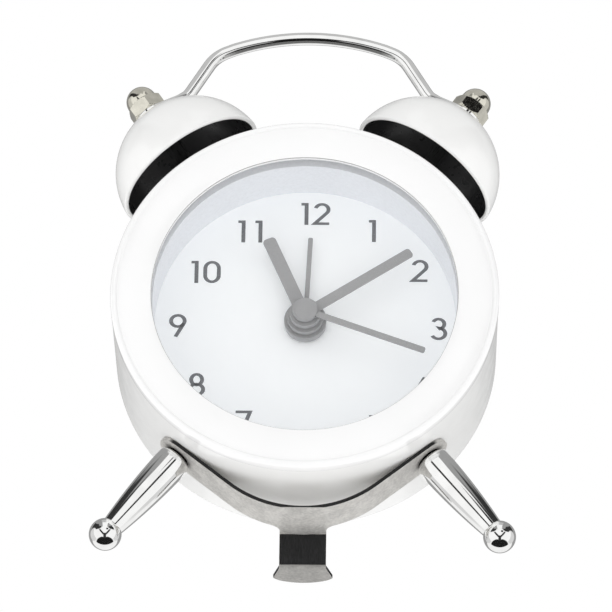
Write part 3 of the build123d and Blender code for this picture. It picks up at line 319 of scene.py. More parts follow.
def moulded(name, colour, roughness=0.45, texture=0.012, spot=0.22, painted_glow=0.0):
    """Plastic from a spark-eroded mould: fine even texture. White print may be given a faint
    emission, which is painted light."""
    fine = (spot, EVEN, 2.0)
    return covered(
        name, (fine, colour, 0.94), ((1.6,), roughness * 0.85, roughness * 1.15),
        (fine, texture), ior=1.46, emission_strength=painted_glow, emission_color=(*colour, 1),
    )


def plated(name, colour, roughness=0.06, wave=0.0008, spot=2.5, shade=0.9):
    """Bright plating: a mirror with faint clouding and slow waves from polishing."""
    return covered(
        name, ((spot,), colour, shade), ((0.5,), roughness * 0.6, roughness * 1.5),
        ((1.1, EVEN, 1.0), wave), metallic=1.0,
    )


def brushed(name, colour, roughness=0.32, stretch=(1, 14, 14), spot=1.2):
    """Rolled or brushed metal: fine lines along one direction over soft clouds."""
    lines = (spot, stretch)
    return covered(
        name, ((0.9,), colour, 0.82), (lines, roughness * 0.8, roughness * 1.3),
        (lines, 0.003), metallic=1.0,
    )


def handle_chrome(colours):
    """Bright plating, with a painted reflection along the lower front side of the handle's arch: a
    dark band that stands in for the dark reflection seen there.
    """
    material = plated("handle_chrome", colours.chrome)
    tree = material.node_tree
    colour = tree.nodes["Principled BSDF"].inputs["Base Color"]
    bright = colour.links[0].from_socket
    facing = axes(tree, "ShaderNodeNewGeometry", "Normal")
    away = calc(tree, "ABSOLUTE", axes(tree, "ShaderNodeTexCoord", "Object")[0])
    # The painted reflection faces down, but not straight down, and forwards, and it ends before the
    # shoulders
    band = product(
        tree, falling(tree, facing[2], -0.56, -0.44), rising(tree, facing[2], -0.98, -0.93),
        falling(tree, facing[1], -0.3, -0.1), falling(tree, away, 11.5 * MM, 15.0 * MM),
    )
    # Painted reflection: the band takes the chrome dimmed to a fifth
    tree.links.new(blended(tree, band, bright, dimmed(colours.chrome, 0.2)), colour)
    return material


def bracket_steel(colours):
    """Mottled strip steel with a darker underside on its foot and painted shade on its cut edges.
    Its tongue, under the drum, is darkened with painted shade, which stands in for a dark
    reflection, and drawn with upright lines."""
    material, tree, shader = new_finish("stand_steel", metallic=0.4)
    spots = grain(tree, 0.45, detail=4.0)
    clouds = grain(tree, 2.4, detail=2.0)
    mottle = rising(tree, calc(tree, "ADD", spots, clouds), 0.75, 1.25)
    steel = blended(tree, mottle, dimmed(colours.steel, 0.72), colours.steel)
    foot = blended(tree, mottle, dimmed(colours.steel, 0.45), dimmed(colours.steel, 0.68))
    drawn = rising(tree, grain(tree, 0.8, (9, 1, 1), detail=4.0), 0.3, 0.7)
    tongue = blended(tree, drawn, dimmed(colours.tongue, 0.35), colours.tongue)

    # From the table up: the foot, the tongue up to its bend, and the strap round the drum
    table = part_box("stand_bracket")[0].z
    bend = table + TONGUE_TOP * MM
    height = axes(tree, "ShaderNodeTexCoord", "Object")[2]
    across, ahead = (
        calc(tree, "ABSOLUTE", axis) for axis in axes(tree, "ShaderNodeNewGeometry", "Normal")[:2]
    )
    below = falling(tree, height, bend - 0.05 * MM, bend)
    above = rising(tree, height, table + 0.25 * MM, table + 0.35 * MM)
    upright = product(tree, below, above, rising(tree, ahead, 0.15, 0.3))
    # Painted shade on the strap's front and rear cut faces, and on the flared sides of the foot
    strap_cut_shade = product(
        tree, rising(tree, height, bend + 0.2 * MM, bend + 0.3 * MM),
        rising(tree, ahead, 0.85, 0.95),
    )
    foot_cut_shade = product(tree, below, rising(tree, across, 0.45, 0.6))
    tone = blended(tree, above, foot, steel)
    # Painted shade: the tongue's near-black stands in for the dark reflection of the strap's shaded
    # underside
    tone = blended(tree, upright, tone, tongue)
    tone = blended(
        tree, calc(tree, "MAXIMUM", strap_cut_shade, foot_cut_shade), tone, dimmed(colours.tongue, 0.6)
    )
    tree.links.new(tone, shader.inputs["Base Color"])
    tree.links.new(ranged(tree, clouds, 0.56, 0.68), shader.inputs["Roughness"])
    raised(tree, shader, spots, 0.004)
    return material


def bare_material(name):
    """New material with an empty tree."""
    material = bpy.data.materials.new(name)
    material.use_nodes = True
    material.node_tree.nodes.clear()
    return material, material.node_tree


def clear_lens(name):
    """Clear polystyrene: light passes straight through, and the surface keeps a soft shine."""
    material, tree = bare_material(name)
    index = 1.3
    inner = node(tree, "ShaderNodeNewGeometry").outputs["Backfacing"]
    bending = ranged(tree, inner, index, 1 / index, 0.0, 1.0)
    fresnel = result(tree, "ShaderNodeFresnel", {"IOR": bending})
    through = result(tree, "ShaderNodeBsdfTransparent", {"Color": (1, 1, 1, 1)})
    haze = ranged(tree, grain(tree, 6.0), 0.02, 0.05)
    shine = result(tree, "ShaderNodeBsdfGlossy", {"Color": (1, 1, 1, 1), "Roughness": haze})
    both = result(tree, "ShaderNodeMixShader", {0: fresnel, 1: through, 2: shine})
    node(tree, "ShaderNodeOutputMaterial", {"Surface": both})
    return material


# Shapes

def arc(start, middle, end, steps=16):
    """Points of the round through three points, without the first one."""
    (ax, ay), (bx, by), (cx, cy) = start, middle, end
    span = 2 * (ax * (by - cy) + bx * (cy - ay) + cx * (ay - by))
    a, b, c = ax * ax + ay * ay, bx * bx + by * by, cx * cx + cy * cy
    x = (a * (by - cy) + b * (cy - ay) + c * (ay - by)) / span
    y = (a * (cx - bx) + b * (ax - cx) + c * (bx - ax)) / span
    radius = hypot(ax - x, ay - y)
    first, half, last = (atan2(q - y, p - x) for p, q in (start, middle, end))
    turn = (last - first) % (2 * pi)
    if (half - first) % (2 * pi) > turn:
        turn -= 2 * pi
    angles = [first + turn * step / steps for step in range(1, steps + 1)]
    return [(x + radius * cos(angle), y + radius * sin(angle)) for angle in angles]


def eased(points, radius, closed=True, steps=3):
    """Outline with its sharp corners rounded, and its shallow ones left."""
    made = []
    count = len(points)
    most_turn, most_share = radians(120), 0.45
    for index, corner in enumerate(points):
        if not closed and index in (0, count - 1):
            made.append(corner)
            continue
        at = Vector(corner)
        back = Vector(points[index - 1]) - at
        on = Vector(points[(index + 1) % count]) - at
        turn = pi - back.angle(on)
        if turn < CORNER_ANGLE:
            made.append(corner)
            continue
        room = most_share * min(back.length, on.length)
        run = min(radius * tan(min(turn, most_turn) / 2), room)
        start, end = at + back.normalized() * run, at + on.normalized() * run
        for step in range(steps + 1):
            share = step / steps
            point = start * (1 - share) ** 2 + at * (2 * share * (1 - share)) + end * share**2
            made.append(tuple(point))
    return made


def facing_back(place):
    """Place whose z axis runs from the front to the back."""
    turn = Matrix(((1, 0, 0), (0, 0, 1), (0, -1, 0))).to_4x4()
    return Matrix.Translation(place) @ turn


def clock_place():
    """Place on the clock's axis, at its front."""
    return facing_back((0, FRONT, AXIS_HEIGHT))


def spoke_place(angle, depth):
    """Place on a spoke of the clock: its z axis runs outwards, its y axis to the back."""
    foot = Matrix.Translation((0, FRONT + depth, AXIS_HEIGHT))
    return foot @ Matrix.Rotation(angle, 4, "Y")


def finished(name, mesh, materials):
    """Object of a finished mesh, smooth but for its sharp edges, with its finishes."""
    for material in materials:
        mesh.materials.append(material)
    mesh.shade_smooth()
    mesh.set_sharp_from_angle(angle=SHARP_ANGLE)
    piece = bpy.data.objects.new(name, mesh)
    bpy.context.scene.collection.objects.link(piece)
    return piece


def mesh_of(name, shape, outward=True):
    """Mesh of a bmesh, with its faces outwards."""
    if outward:
        bmesh.ops.recalc_face_normals(shape, faces=shape.faces)
    mesh = bpy.data.meshes.new(name)
    shape.to_mesh(mesh)
    shape.free()
    return mesh


def row_round(shape, along, radii, place=Matrix()):
    """Points round a place's z axis. Each has its own radius."""
    step = 2 * pi / len(radii)
    return [
        shape.verts.new(place @ Vector((radius * cos(step * at), radius * sin(step * at), along)))
        for at, radius in enumerate(radii)
    ]


def skin(shape, rows, closed=False, second=()):
    """Faces between rows of points that go round. A row of one point closes a pole. The bands
    listed as second take the second finish."""
    faces = []
    sides = max(len(row) for row in rows)
    bands = list(zip(rows, rows[1:] + rows[:1] if closed else rows[1:]))
    for index, (near, far) in enumerate(bands):
        for side in range(sides):
            on = (side + 1) % sides
            corners = (
                near[side % len(near)], near[on % len(near)],
                far[on % len(far)], far[side % len(far)],
            )
            face = shape.faces.new(tuple(dict.fromkeys(corners)))
            face.material_index = int(index in second)
            faces.append(face)
    return faces


def turned(name, outline, place, materials, closed, sides, second=()):
    """Piece turned round its place's z axis, from an outline of (along, radius) points."""
    shape = bmesh.new()
    rows = [
        row_round(shape, along, [radius] * (sides if radius > 0 else 1), place)
        for along, radius in outline
    ]
    skin(shape, rows, closed, second)
    return finished(name, mesh_of(name, shape), materials)


def softened(name, node_name, width, materials, edge_finish=0, shift=None):
    """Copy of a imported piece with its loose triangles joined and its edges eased. The eased edges
    take the finish of this number, and points can be shifted before."""
    same_point, same_plane = 0.0005 * MM, radians(0.4)
    shape = bmesh.new()
    shape.from_mesh(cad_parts[node_name].data)
    bmesh.ops.remove_doubles(shape, verts=shape.verts, dist=same_point)
    for corner in shape.verts if shift else ():
        corner.co = shift(corner.co)
    bmesh.ops.dissolve_limit(
        shape, angle_limit=same_plane, verts=shape.verts, edges=shape.edges
    )
    sharp = [
        edge for edge in shape.edges
        if edge.is_manifold and edge.calc_face_angle() > SHARP_ANGLE
    ]
    for face in shape.faces:
        face.material_index = 0
    bmesh.ops.bevel(
        shape, geom=sharp, offset=width, offset_type="OFFSET", segments=2, profile=0.5,
        affect="EDGES", clamp_overlap=True, material=edge_finish,
    )
    piece = finished(name, mesh_of(name, shape, outward=False), materials)
    flat = piece.modifiers.new("Flat Faces", "WEIGHTED_NORMAL")
    flat.keep_sharp = True
    return piece


def seat(piece, body, slot, *nodes):
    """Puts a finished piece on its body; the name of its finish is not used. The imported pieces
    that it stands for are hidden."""
    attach(piece, body)
    if nodes:
        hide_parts(*nodes)


def dress(node_name, material):
    """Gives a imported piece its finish."""
    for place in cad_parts[node_name].material_slots:
        place.material = material


# Geometry Nodes

def new_tree(name, sockets):
    """Geometry Nodes tree with its named inputs; returns the tree and its two end nodes."""
    tree = bpy.data.node_groups.new(name, "GeometryNodeTree")
    tree.interface.new_socket("Geometry", in_out="INPUT", socket_type="NodeSocketGeometry")
    for label, kind in sockets:
        tree.interface.new_socket(label, in_out="INPUT", socket_type=f"NodeSocket{kind}")
    tree.interface.new_socket("Geometry", in_out="OUTPUT", socket_type="NodeSocketGeometry")
    return tree, node(tree, "NodeGroupInput").outputs, node(tree, "NodeGroupOutput")


def close_tree(tree, end, geometry, material):
    """Ends a tree with real geometry and its finish."""
    real = result(tree, "GeometryNodeRealizeInstances", {"Geometry": geometry})
    painted = result(tree, "GeometryNodeSetMaterial", {"Geometry": real, "Material": material})
    tree.links.new(painted, end.inputs["Geometry"])


def grown(name, tree, values, base, place, materials):
    """Runs a tree on a base mesh or curve and keeps the result as a plain mesh in its place."""
    helper = bpy.data.objects.new(name + "_base", base)
    bpy.context.scene.collection.objects.link(helper)
    modifier = helper.modifiers.new("Tree", "NODES")
    modifier.node_group = tree
    for item in tree.interface.items_tree:
        if item.in_out == "INPUT" and item.name in values:
            modifier[item.identifier] = values[item.name]
    helper.update_tag()
    evaluated = helper.evaluated_get(bpy.context.evaluated_depsgraph_get())
    mesh = bpy.data.meshes.new_from_object(evaluated)
    helper.modifiers.remove(modifier)
    bpy.data.objects.remove(helper)
    mesh.name = name
    mesh.materials.clear()
    mesh.transform(place)
    return finished(name, mesh, materials)


def fluted_knob_tree():
    """Round knob with grooves down its side and eased ends."""
    tree, given, end = new_tree("Fluted Knob", (
        ("Radius", "Float"), ("Height", "Float"), ("Flutes", "Int"), ("Groove", "Float"),
        ("Edge", "Float"), ("Material", "Material"),
    ))
    do = partial(calc, tree)
    radius, height, edge = given["Radius"], given["Height"], given["Edge"]
    body = result(tree, "GeometryNodeMeshCylinder", {
        "Vertices": do("MULTIPLY", given["Flutes"], 16), "Side Segments": 24,
        "Fill Segments": 10, "Radius": radius, "Depth": height,
    })
    x, y, z = axes(tree, "GeometryNodeInputPosition", "Position")
    away = do("SQRT", do("ADD", do("MULTIPLY", x, x), do("MULTIPLY", y, y)))
    share = do("DIVIDE", away, radius)

    # Grooves, deep at the side and fading towards the middle of the ends
    wave = do("COSINE", do("MULTIPLY", do("ARCTAN2", y, x), given["Flutes"]))
    hollow = do("POWER", do("MAXIMUM", wave, 0.0), 1.5)
    depth = product(tree, hollow, given["Groove"], do("POWER", share, 8.0))

    # Round edge at either end
    straight = do("SUBTRACT", do("MULTIPLY", height, 0.5), edge)
    over = do("MAXIMUM", do("SUBTRACT", do("ABSOLUTE", z), straight), 0.0)
    left = do("SUBTRACT", do("MULTIPLY", edge, edge), do("MULTIPLY", over, over))
    ease = do("SUBTRACT", edge, do("SQRT", do("MAXIMUM", left, 0.0)))

    inward = do("ADD", depth, do("MULTIPLY", ease, share))
    scale = do("SUBTRACT", 1.0, do("DIVIDE", inward, radius))
    moved = result(tree, "ShaderNodeCombineXYZ", {
        "X": do("MULTIPLY", x, scale), "Y": do("MULTIPLY", y, scale), "Z": z,
    })
    shaped = result(tree, "GeometryNodeSetPosition", {"Geometry": body, "Position": moved})
    close_tree(tree, end, shaped, given["Material"])
    return tree


def round_row_tree():
    """Copies of the base mesh on a circle round the z axis."""
    tree, given, end = new_tree("Round Row", (
        ("Count", "Int"), ("Reach", "Float"), ("First Angle", "Float"), ("Material", "Material"),
    ))
    circle = result(tree, "GeometryNodeMeshCircle", {
        "Vertices": given["Count"], "Radius": given["Reach"],
    })
    turn = result(tree, "ShaderNodeCombineXYZ", {"Z": given["First Angle"]})
    first = result(tree, "GeometryNodeTransform", {"Geometry": circle, "Rotation": turn})
    copies = result(tree, "GeometryNodeInstanceOnPoints", {
        "Points": first, "Instance": given["Geometry"],
    })
    close_tree(tree, end, copies, given["Material"])
    return tree


def spoke_row_tree():
    """Copies of the base mesh at the ends of spokes, spread evenly about straight up, each turned
    about its own spoke."""
    tree, given, end = new_tree("Spoke Row", (
        ("Count", "Int"), ("Reach", "Float"), ("Spread", "Float"), ("First Turn", "Float"),
        ("Turn Step", "Float"), ("Material", "Material"),
    ))
    do = partial(calc, tree)
    line = result(tree, "GeometryNodeMeshLine", {"Count": given["Count"]})
    index = result(tree, "GeometryNodeInputIndex")
    place = do("SUBTRACT", do("DIVIDE", index, do("SUBTRACT", given["Count"], 1.0)), 0.5)
    angle = do("MULTIPLY", place, given["Spread"])
    spot = result(tree, "ShaderNodeCombineXYZ", {
        "X": do("MULTIPLY", do("SINE", angle), given["Reach"]),
        "Z": do("MULTIPLY", do("COSINE", angle), given["Reach"]),
    })
    spread = result(tree, "GeometryNodeSetPosition", {"Geometry": line, "Position": spot})
    lean = result(tree, "ShaderNodeCombineXYZ", {"Y": angle})
    own = do("ADD", given["First Turn"], do("MULTIPLY", index, given["Turn Step"]))
    spin = result(tree, "ShaderNodeCombineXYZ", {"Z": own})
    both = result(tree, "FunctionNodeRotateRotation", {
        "Rotation": lean, "Rotate By": spin,
    }, rotation_space="LOCAL")
    copies = result(tree, "GeometryNodeInstanceOnPoints", {
        "Points": spread, "Instance": given["Geometry"], "Rotation": both,
    })
    close_tree(tree, end, copies, given["Material"])
    return tree


def bent_rod_tree():
    """Round rod along the base curve, with closed ends."""
    tree, given, end = new_tree("Bent Rod", (
        ("Radius", "Float"), ("Sides", "Int"), ("Material", "Material"),
    ))
    ring = result(tree, "GeometryNodeCurvePrimitiveCircle", {
        "Resolution": given["Sides"], "Radius": given["Radius"],
    })
    rod = result(tree, "GeometryNodeCurveToMesh", {
        "Curve": given["Geometry"], "Profile Curve": ring, "Fill Caps": True,
    })
    close_tree(tree, end, rod, given["Material"])
    return tree


# Numerals: strokes with points in shares of the numeral's height, from its middle

def bow(x, y, wide, high, start, end, steps=20):
    """Points round an oval, between two angles in degrees."""
    angles = [radians(start + (end - start) * step / steps) for step in range(steps + 1)]
    return [(x + wide * cos(angle), y + high * sin(angle)) for angle in angles]


def oval(x, y, wide, high):
    """Points right round an oval."""
    return bow(x, y, wide, high, 0, 360)[:-1]


# The strokes of each digit. The first row holds those that close on themselves.
DIGITS = {
    0: ([bow(0, 0.16, 0.27, 0.28, 0, 180) + bow(0, -0.16, 0.27, 0.28, 180, 360)], []),
    1: ([], [[(-0.15, 0.44), (0.06, 0.44), (0.06, -0.5)]]),
    2: ([], [bow(0, 0.2, 0.26, 0.24, 165, -35) + [(-0.29, -0.44), (0.3, -0.44)]]),
    3: ([], [
        bow(-0.02, 0.22, 0.23, 0.22, 155, -75) + bow(-0.02, -0.2, 0.27, 0.24, 82, -155),
    ]),
    4: ([], [[(0.12, 0.5), (-0.28, -0.22), (0.32, -0.22)], [(0.14, 0.1), (0.14, -0.5)]]),
    5: ([], [
        [(0.24, 0.44), (-0.2, 0.44), (-0.22, 0.06)] + bow(-0.02, -0.16, 0.27, 0.28, 130, -150),
    ]),
    6: ([oval(0, -0.2, 0.27, 0.25)], [[(-0.235, -0.08), (0.08, 0.5)]]),
    7: ([], [[(-0.3, 0.44), (0.27, 0.44), (-0.08, -0.5)]]),
    8: ([oval(0, 0.21, 0.215, 0.235), oval(0, -0.22, 0.265, 0.235)], []),
    9: ([oval(0, 0.2, 0.27, 0.25)], [[(0.235, 0.08), (-0.08, -0.5)]]),
}

# Where each numeral's middle stands on the dial, across and up, in millimetres
NUMERAL_PLACES = {
    12: (1.04, 19.77), 1: (10.39, 16.77), 2: (17.9, 9.67), 3: (20.89, -0.58),
    4: (18.2, -11.05), 5: (11.15, -17.65), 6: (0.6, -20.7), 7: (-9.45, -16.99),
    8: (-16.8, -10.54), 9: (-19.97, -0.23), 10: (-16.14, 9.27), 11: (-8.88, 16.56),
}
# Middle to middle of two digits, and how far the ink stands on the dial, in millimetres
DIGIT_STEP = 2.68
PRINT_HEIGHT = 0.02
# A ribbon's corner reaches out no further than that of a turn this sharp
LEAST_MITRE = 0.35


def stroke_ribbon(shape, points, closed, stem, bar, place):
    """Flat ribbon along a stroke, by a pen that is wider across than it is high."""
    flat = [Vector((x / stem, y / bar)) for x, y in points]
    count = len(flat)
    left, right = [], []
    for index, at in enumerate(flat):
        before = flat[index - 1] if closed or index else at
        after = flat[(index + 1) % count] if closed or index < count - 1 else at
        into, out = (at - before), (after - at)
        into = (into if into.length else out).normalized()
        out = (out if out.length else into).normalized()
        along = (into + out).normalized()
        side = Vector((-along.y, along.x)) * 0.5 / max(LEAST_MITRE, along.dot(into))
        left.append(at + side)
        right.append(at - side)

    def corner(point):
        return shape.verts.new(place @ Vector((point.x * stem, point.y * bar, 0)))

    lefts, rights = [corner(p) for p in left], [corner(p) for p in right]
    for index in range(count if closed else count - 1):
        on = (index + 1) % count
        shape.faces.new((lefts[index], rights[index], rights[on], lefts[on]))


def numeral_shape(sizes):
    """All the dial's numerals in one shape."""
    shape = bmesh.new()
    high, stem, bar = sizes.numeral_height, sizes.numeral_stem, sizes.numeral_bar
    depth = FRONT + DIAL_DEPTH - PRINT_HEIGHT * MM
    for number, (x, z) in NUMERAL_PLACES.items():
        digits = [int(letter) for letter in str(number)]
        for index, digit in enumerate(digits):
            shift = (index - (len(digits) - 1) / 2) * DIGIT_STEP
            middle = Vector(((x + shift) * MM, depth, AXIS_HEIGHT + z * MM))
            place = Matrix.Translation(middle) @ Matrix.Rotation(pi / 2, 4, "X")
            for strokes, closed in zip(DIGITS[digit], (True, False)):
                for points in strokes:
                    sized = [(across * high, up * high) for across, up in points]
                    stroke_ribbon(shape, sized, closed, stem, bar, place)
    return shape


# Steps

class CLOCK_OT_drum(bpy.types.Operator):
    """Enamels the drum, and finishes the white wall between the lens and the dial"""

    bl_idname = "clock.drum"
    bl_label = "Drum"

    def execute(self, context):
        colours = context.scene.clock_colours
        white = enamel("white_enamel", colours.enamel)
        dress("case_shell", white)
        # The well's faint emission is painted light, which brightens the recess behind the lens
        dress("dial_well", moulded(
            "well_white", colours.well, roughness=0.5, texture=0.004, spot=0.5, painted_glow=0.03
        ))
        return {"FINISHED"}


class CLOCK_OT_front_ring(bpy.types.Operator):
    """Turns the domed front ring, its bead and its lip"""

    bl_idname = "clock.front_ring"
    bl_label = "Front Ring"

    def execute(self, context):
        sizes, colours = chosen(context)
        bead, wall, lip = sizes.bead_radius, sizes.ring_wall, sizes.lip_radius
        bead_at = (bead + 0.05 * MM, RING_RADIUS - bead)
        valley_depth = 0.25 * MM
        back = bead_at[0] - valley_depth
        valley = (valley_depth, bead_at[1] - sqrt(bead * bead - back * back))
        lip_at = (0.35 * MM, lip)
        face_middle = ((lip_at[0] + valley[0]) / 2 - 0.3 * MM, (lip_at[1] + valley[1]) / 2)
        bead_nose = (bead_at[0] - bead * cos(pi / 4), bead_at[1] + bead * sin(pi / 4))
        drum_front, web_back = 2.0 * MM, 1.5 * MM
        spigot, recess = RING_RADIUS - 0.9 * MM, LENS_RADIUS + 0.1 * MM
        spigot_end, lens_front = ring_high.y - FRONT, lens_low.y - FRONT
        outline = [lip_at]
        outline += arc(lip_at, face_middle, valley, 24)
        outline += arc(valley, bead_nose, (bead_at[0], RING_RADIUS), 14)
        outline += [
            (drum_front, RING_RADIUS), (drum_front, spigot), (spigot_end, spigot),
            (spigot_end, spigot - wall), (web_back, spigot - wall), (web_back, recess + wall),
            (spigot_end, recess + wall), (spigot_end, recess), (lens_front, recess),
            (lens_front, lip),
        ]
        outline = eased(outline, 0.12 * MM)
        white = enamel("ring_gloss", colours.ring, roughness=0.16, peel=0.004, coat=0.4)
        # The lip's first bands take painted shade: a grey line that stands in for the shadow
        # between the lip and the lens
        shaded = enamel("ring_lip", colours.ring_lip, roughness=0.3, peel=0.004, coat=0.1)
        lip_bands = 3
        ring = turned(
            "front_ring", outline, clock_place(), [white, shaded], True, sizes.turned_sides,
            range(lip_bands),
        )
        seat(ring, "case", "white_ring", "front_bezel")
        return {"FINISHED"}


class CLOCK_OT_lens(bpy.types.Operator):
    """Turns the clear lens with its polished edge"""

    bl_idname = "clock.lens"
    bl_label = "Lens"

    def execute(self, context):
        sizes = context.scene.clock_sizes
        clear, edge = 0.03 * MM, 0.2 * MM
        front, back = lens_low.y - FRONT + clear, lens_high.y - FRONT - clear
        outline = [
            (front, 0), (front, LENS_RADIUS - edge), (front + edge, LENS_RADIUS),
            (back - edge, LENS_RADIUS), (back, LENS_RADIUS - edge), (back, 0),
        ]
        lens = turned(
            "clear_lens", outline, clock_place(), [clear_lens("lens_clear")], False,
            sizes.turned_sides,
        )
        seat(lens, "case", "clear_lens", "lens")
        return {"FINISHED"}


class CLOCK_OT_dial(bpy.types.Operator):
    """Whitens the dial and prints its numerals"""

    bl_idname = "clock.dial"
    bl_label = "Dial"

    def execute(self, context):
        sizes, colours = chosen(context)
        # The dial's faint emission is painted light, which brightens it at the bottom of its recess
        dress("dial_plate", moulded(
            "dial_white", colours.dial, roughness=0.55, texture=0.002, spot=0.5, painted_glow=0.09
        ))
        ink = moulded("numeral_ink", colours.numerals, roughness=0.6, texture=0.002, spot=0.3)
        mesh = mesh_of("dial_numerals", numeral_shape(sizes), outward=False)
        seat(finished("dial_numerals", mesh, [ink]), "case", "hand_grey")
        return {"FINISHED"}


class CLOCK_OT_hands(bpy.types.Operator):
    """Eases the edges of the four hands and gives them their satin grey"""

    bl_idname = "clock.hands"
    bl_label = "Hands"

    def execute(self, context):
        sizes, colours = chosen(context)
        grey = moulded("hand_satin", colours.hands, roughness=0.38, texture=0.003, spot=0.35)
        bodies = {
            "alarm_hand": "alarm", "hour_hand": "hour", "minute_hand": "minute",
            "second_hand": "seconds",
        }
        for name, body in bodies.items():
            piece = softened(name + "_satin", name, sizes.edge_round * 0.5, [grey])
            seat(piece, body, "hand_grey", name)
        return {"FINISHED"}


class CLOCK_OT_bells(bpy.types.Operator):
    """Turns the two bells, white outside and black inside"""

    bl_idname = "clock.bells"
    bl_label = "Bells"

    def execute(self, context):
        sizes, colours = chosen(context)
        rim, dome, wall = sizes.bell_rim_reach, sizes.bell_radius, sizes.bell_wall
        top = rim + sizes.bell_height
        flat, hole = 2.9 * MM, 1.15 * MM
        centre = top - sqrt(dome * dome - flat * flat)
        inner, under = dome - wall, top - wall

        def edge(radius, reach):
            return (reach, sqrt(radius * radius - (reach - centre) ** 2))

        def at(radius, away):
            return (centre + sqrt(radius * radius - away * away), away)

        outer_rim, inner_rim = edge(dome, rim), edge(inner, rim)
        nose = (rim - wall * 0.33, (outer_rim[1] + inner_rim[1]) / 2)
        outline = [(top, hole), (top, flat)]
        outline += arc((top, flat), at(dome, outer_rim[1] * 0.7), outer_rim, 48)
        outline += arc(outer_rim, nose, inner_rim, 10)
        # The black starts just inside the rim
        first_black = len(outline) - 3
        outline += arc(inner_rim, at(inner, inner_rim[1] * 0.7), edge(inner, under), 48)
        outline.append((under, hole))

        white = enamel("bell_enamel", colours.enamel, coat=0.35)
        black = moulded(
            "bell_black", colours.bell_inside, roughness=0.3, texture=0.002, spot=2.0
        )
        for side, name in ((-1, "left_bell"), (1, "right_bell")):
            bell = turned(
                name + "_enamelled", outline, spoke_place(side * BELL_ANGLE, BELL_DEPTH),
                [white, black], True, sizes.turned_sides, range(first_black, len(outline)),
            )
            seat(bell, "case", "white_enamel", name)
        return {"FINISHED"}


class CLOCK_OT_posts(bpy.types.Operator):
    """Plates the bell posts"""

    bl_idname = "clock.posts"
    bl_label = "Bell Posts"

    def execute(self, context):
        chrome = plated("post_chrome", context.scene.clock_colours.chrome)
        for name in ("left_bell_post", "right_bell_post"):
            dress(name, chrome)
        return {"FINISHED"}


# Heights in millimetres at which a cap nut's hexagon has a row of points, and its facets round
NUT_ROWS = (0, 0.03, 0.1, 0.18, 0.28, 0.4, 0.8, 1.1, 1.5, 1.8, 1.92, 2.02, 2.1, 2.17, 2.2)
NUT_SIDES = 144
NUT_CHAMFER = radians(30)


def cap_nut_shape(sizes):
    """One cap nut: a hexagon with turned-off corners under a neck and a dome."""
    shape = bmesh.new()
    flats, height, neck, bore = sizes.nut_width / 2, NUT_ROWS[-1] * MM, 0.5 * MM, 1.05 * MM
    dome = flats - 0.2 * MM
    neck_end = height + neck

    def hexagon(side, along):
        to_flat = (2 * pi * side / NUT_SIDES) % (pi / 3) - pi / 6
        slope = min(along, height - along) / tan(NUT_CHAMFER)
        return min(flats / cos(to_flat), flats + slope)

    def row(along, radius):
        return row_round(shape, along, [radius] * NUT_SIDES)

    outside = [
        row_round(shape, along * MM, [hexagon(side, along * MM) for side in range(NUT_SIDES)])
        for along in NUT_ROWS
    ]
    outside += [row(height + 0.02 * MM, dome + 0.04 * MM), row(height + 0.06 * MM, dome)]
    outside.append(row(neck_end, dome))
    for angle in (radians(degree) for degree in range(6, 90, 6)):
        outside.append(row(neck_end + dome * sin(angle), dome * cos(angle)))
    tip, roof = [shape.verts.new((0, 0, neck_end + dome))], [shape.verts.new((0, 0, height))]
    skin(shape, [roof, row(height, bore), row(0, bore)] + outside + [tip])
    return shape


class CLOCK_OT_cap_nuts(bpy.types.Operator):
    """Sets a domed cap nut on the end of each bell post"""

    bl_idname = "clock.cap_nuts"
    bl_label = "Cap Nuts"

    def execute(self, context):
        sizes, colours = chosen(context)
        nickel = plated(
            "nut_nickel", colours.nickel, roughness=0.08, wave=0.0012, spot=1.2, shade=0.82
        )
        base = mesh_of("cap_nut_base", cap_nut_shape(sizes))
        on_eye = sizes.bell_rim_reach + sizes.bell_height + EYE_THICKNESS
        nuts = grown("cap_nuts_domed", spoke_row_tree(), {
            "Count": 2, "Reach": on_eye, "Spread": 2 * BELL_ANGLE,
            "First Turn": radians(30), "Turn Step": radians(-20), "Material": nickel,
        }, base, Matrix.Translation((0, FRONT + BELL_DEPTH, AXIS_HEIGHT)), [nickel])
        seat(nuts, "case", "bright_chrome", "cap_nuts")
        return {"FINISHED"}


def bent_path(points, bends):
    """Points of a path whose inner corners are rounded to their bends."""
    made = [Vector(points[0])]
    for before, at, after, bend in zip(points, points[1:], points[2:], bends):
        at = Vector(at)
        back, on = (Vector(before) - at).normalized(), (Vector(after) - at).normalized()
        half = (pi - back.angle(on)) / 2
        run = bend * tan(half)
        start, middle = at + back * run, at + (back + on).normalized() * (bend / cos(half) - bend)
        made += [start] + [Vector(point) for point in arc(start, middle, at + on * run, 14)]
    made.append(Vector(points[-1]))
    return made


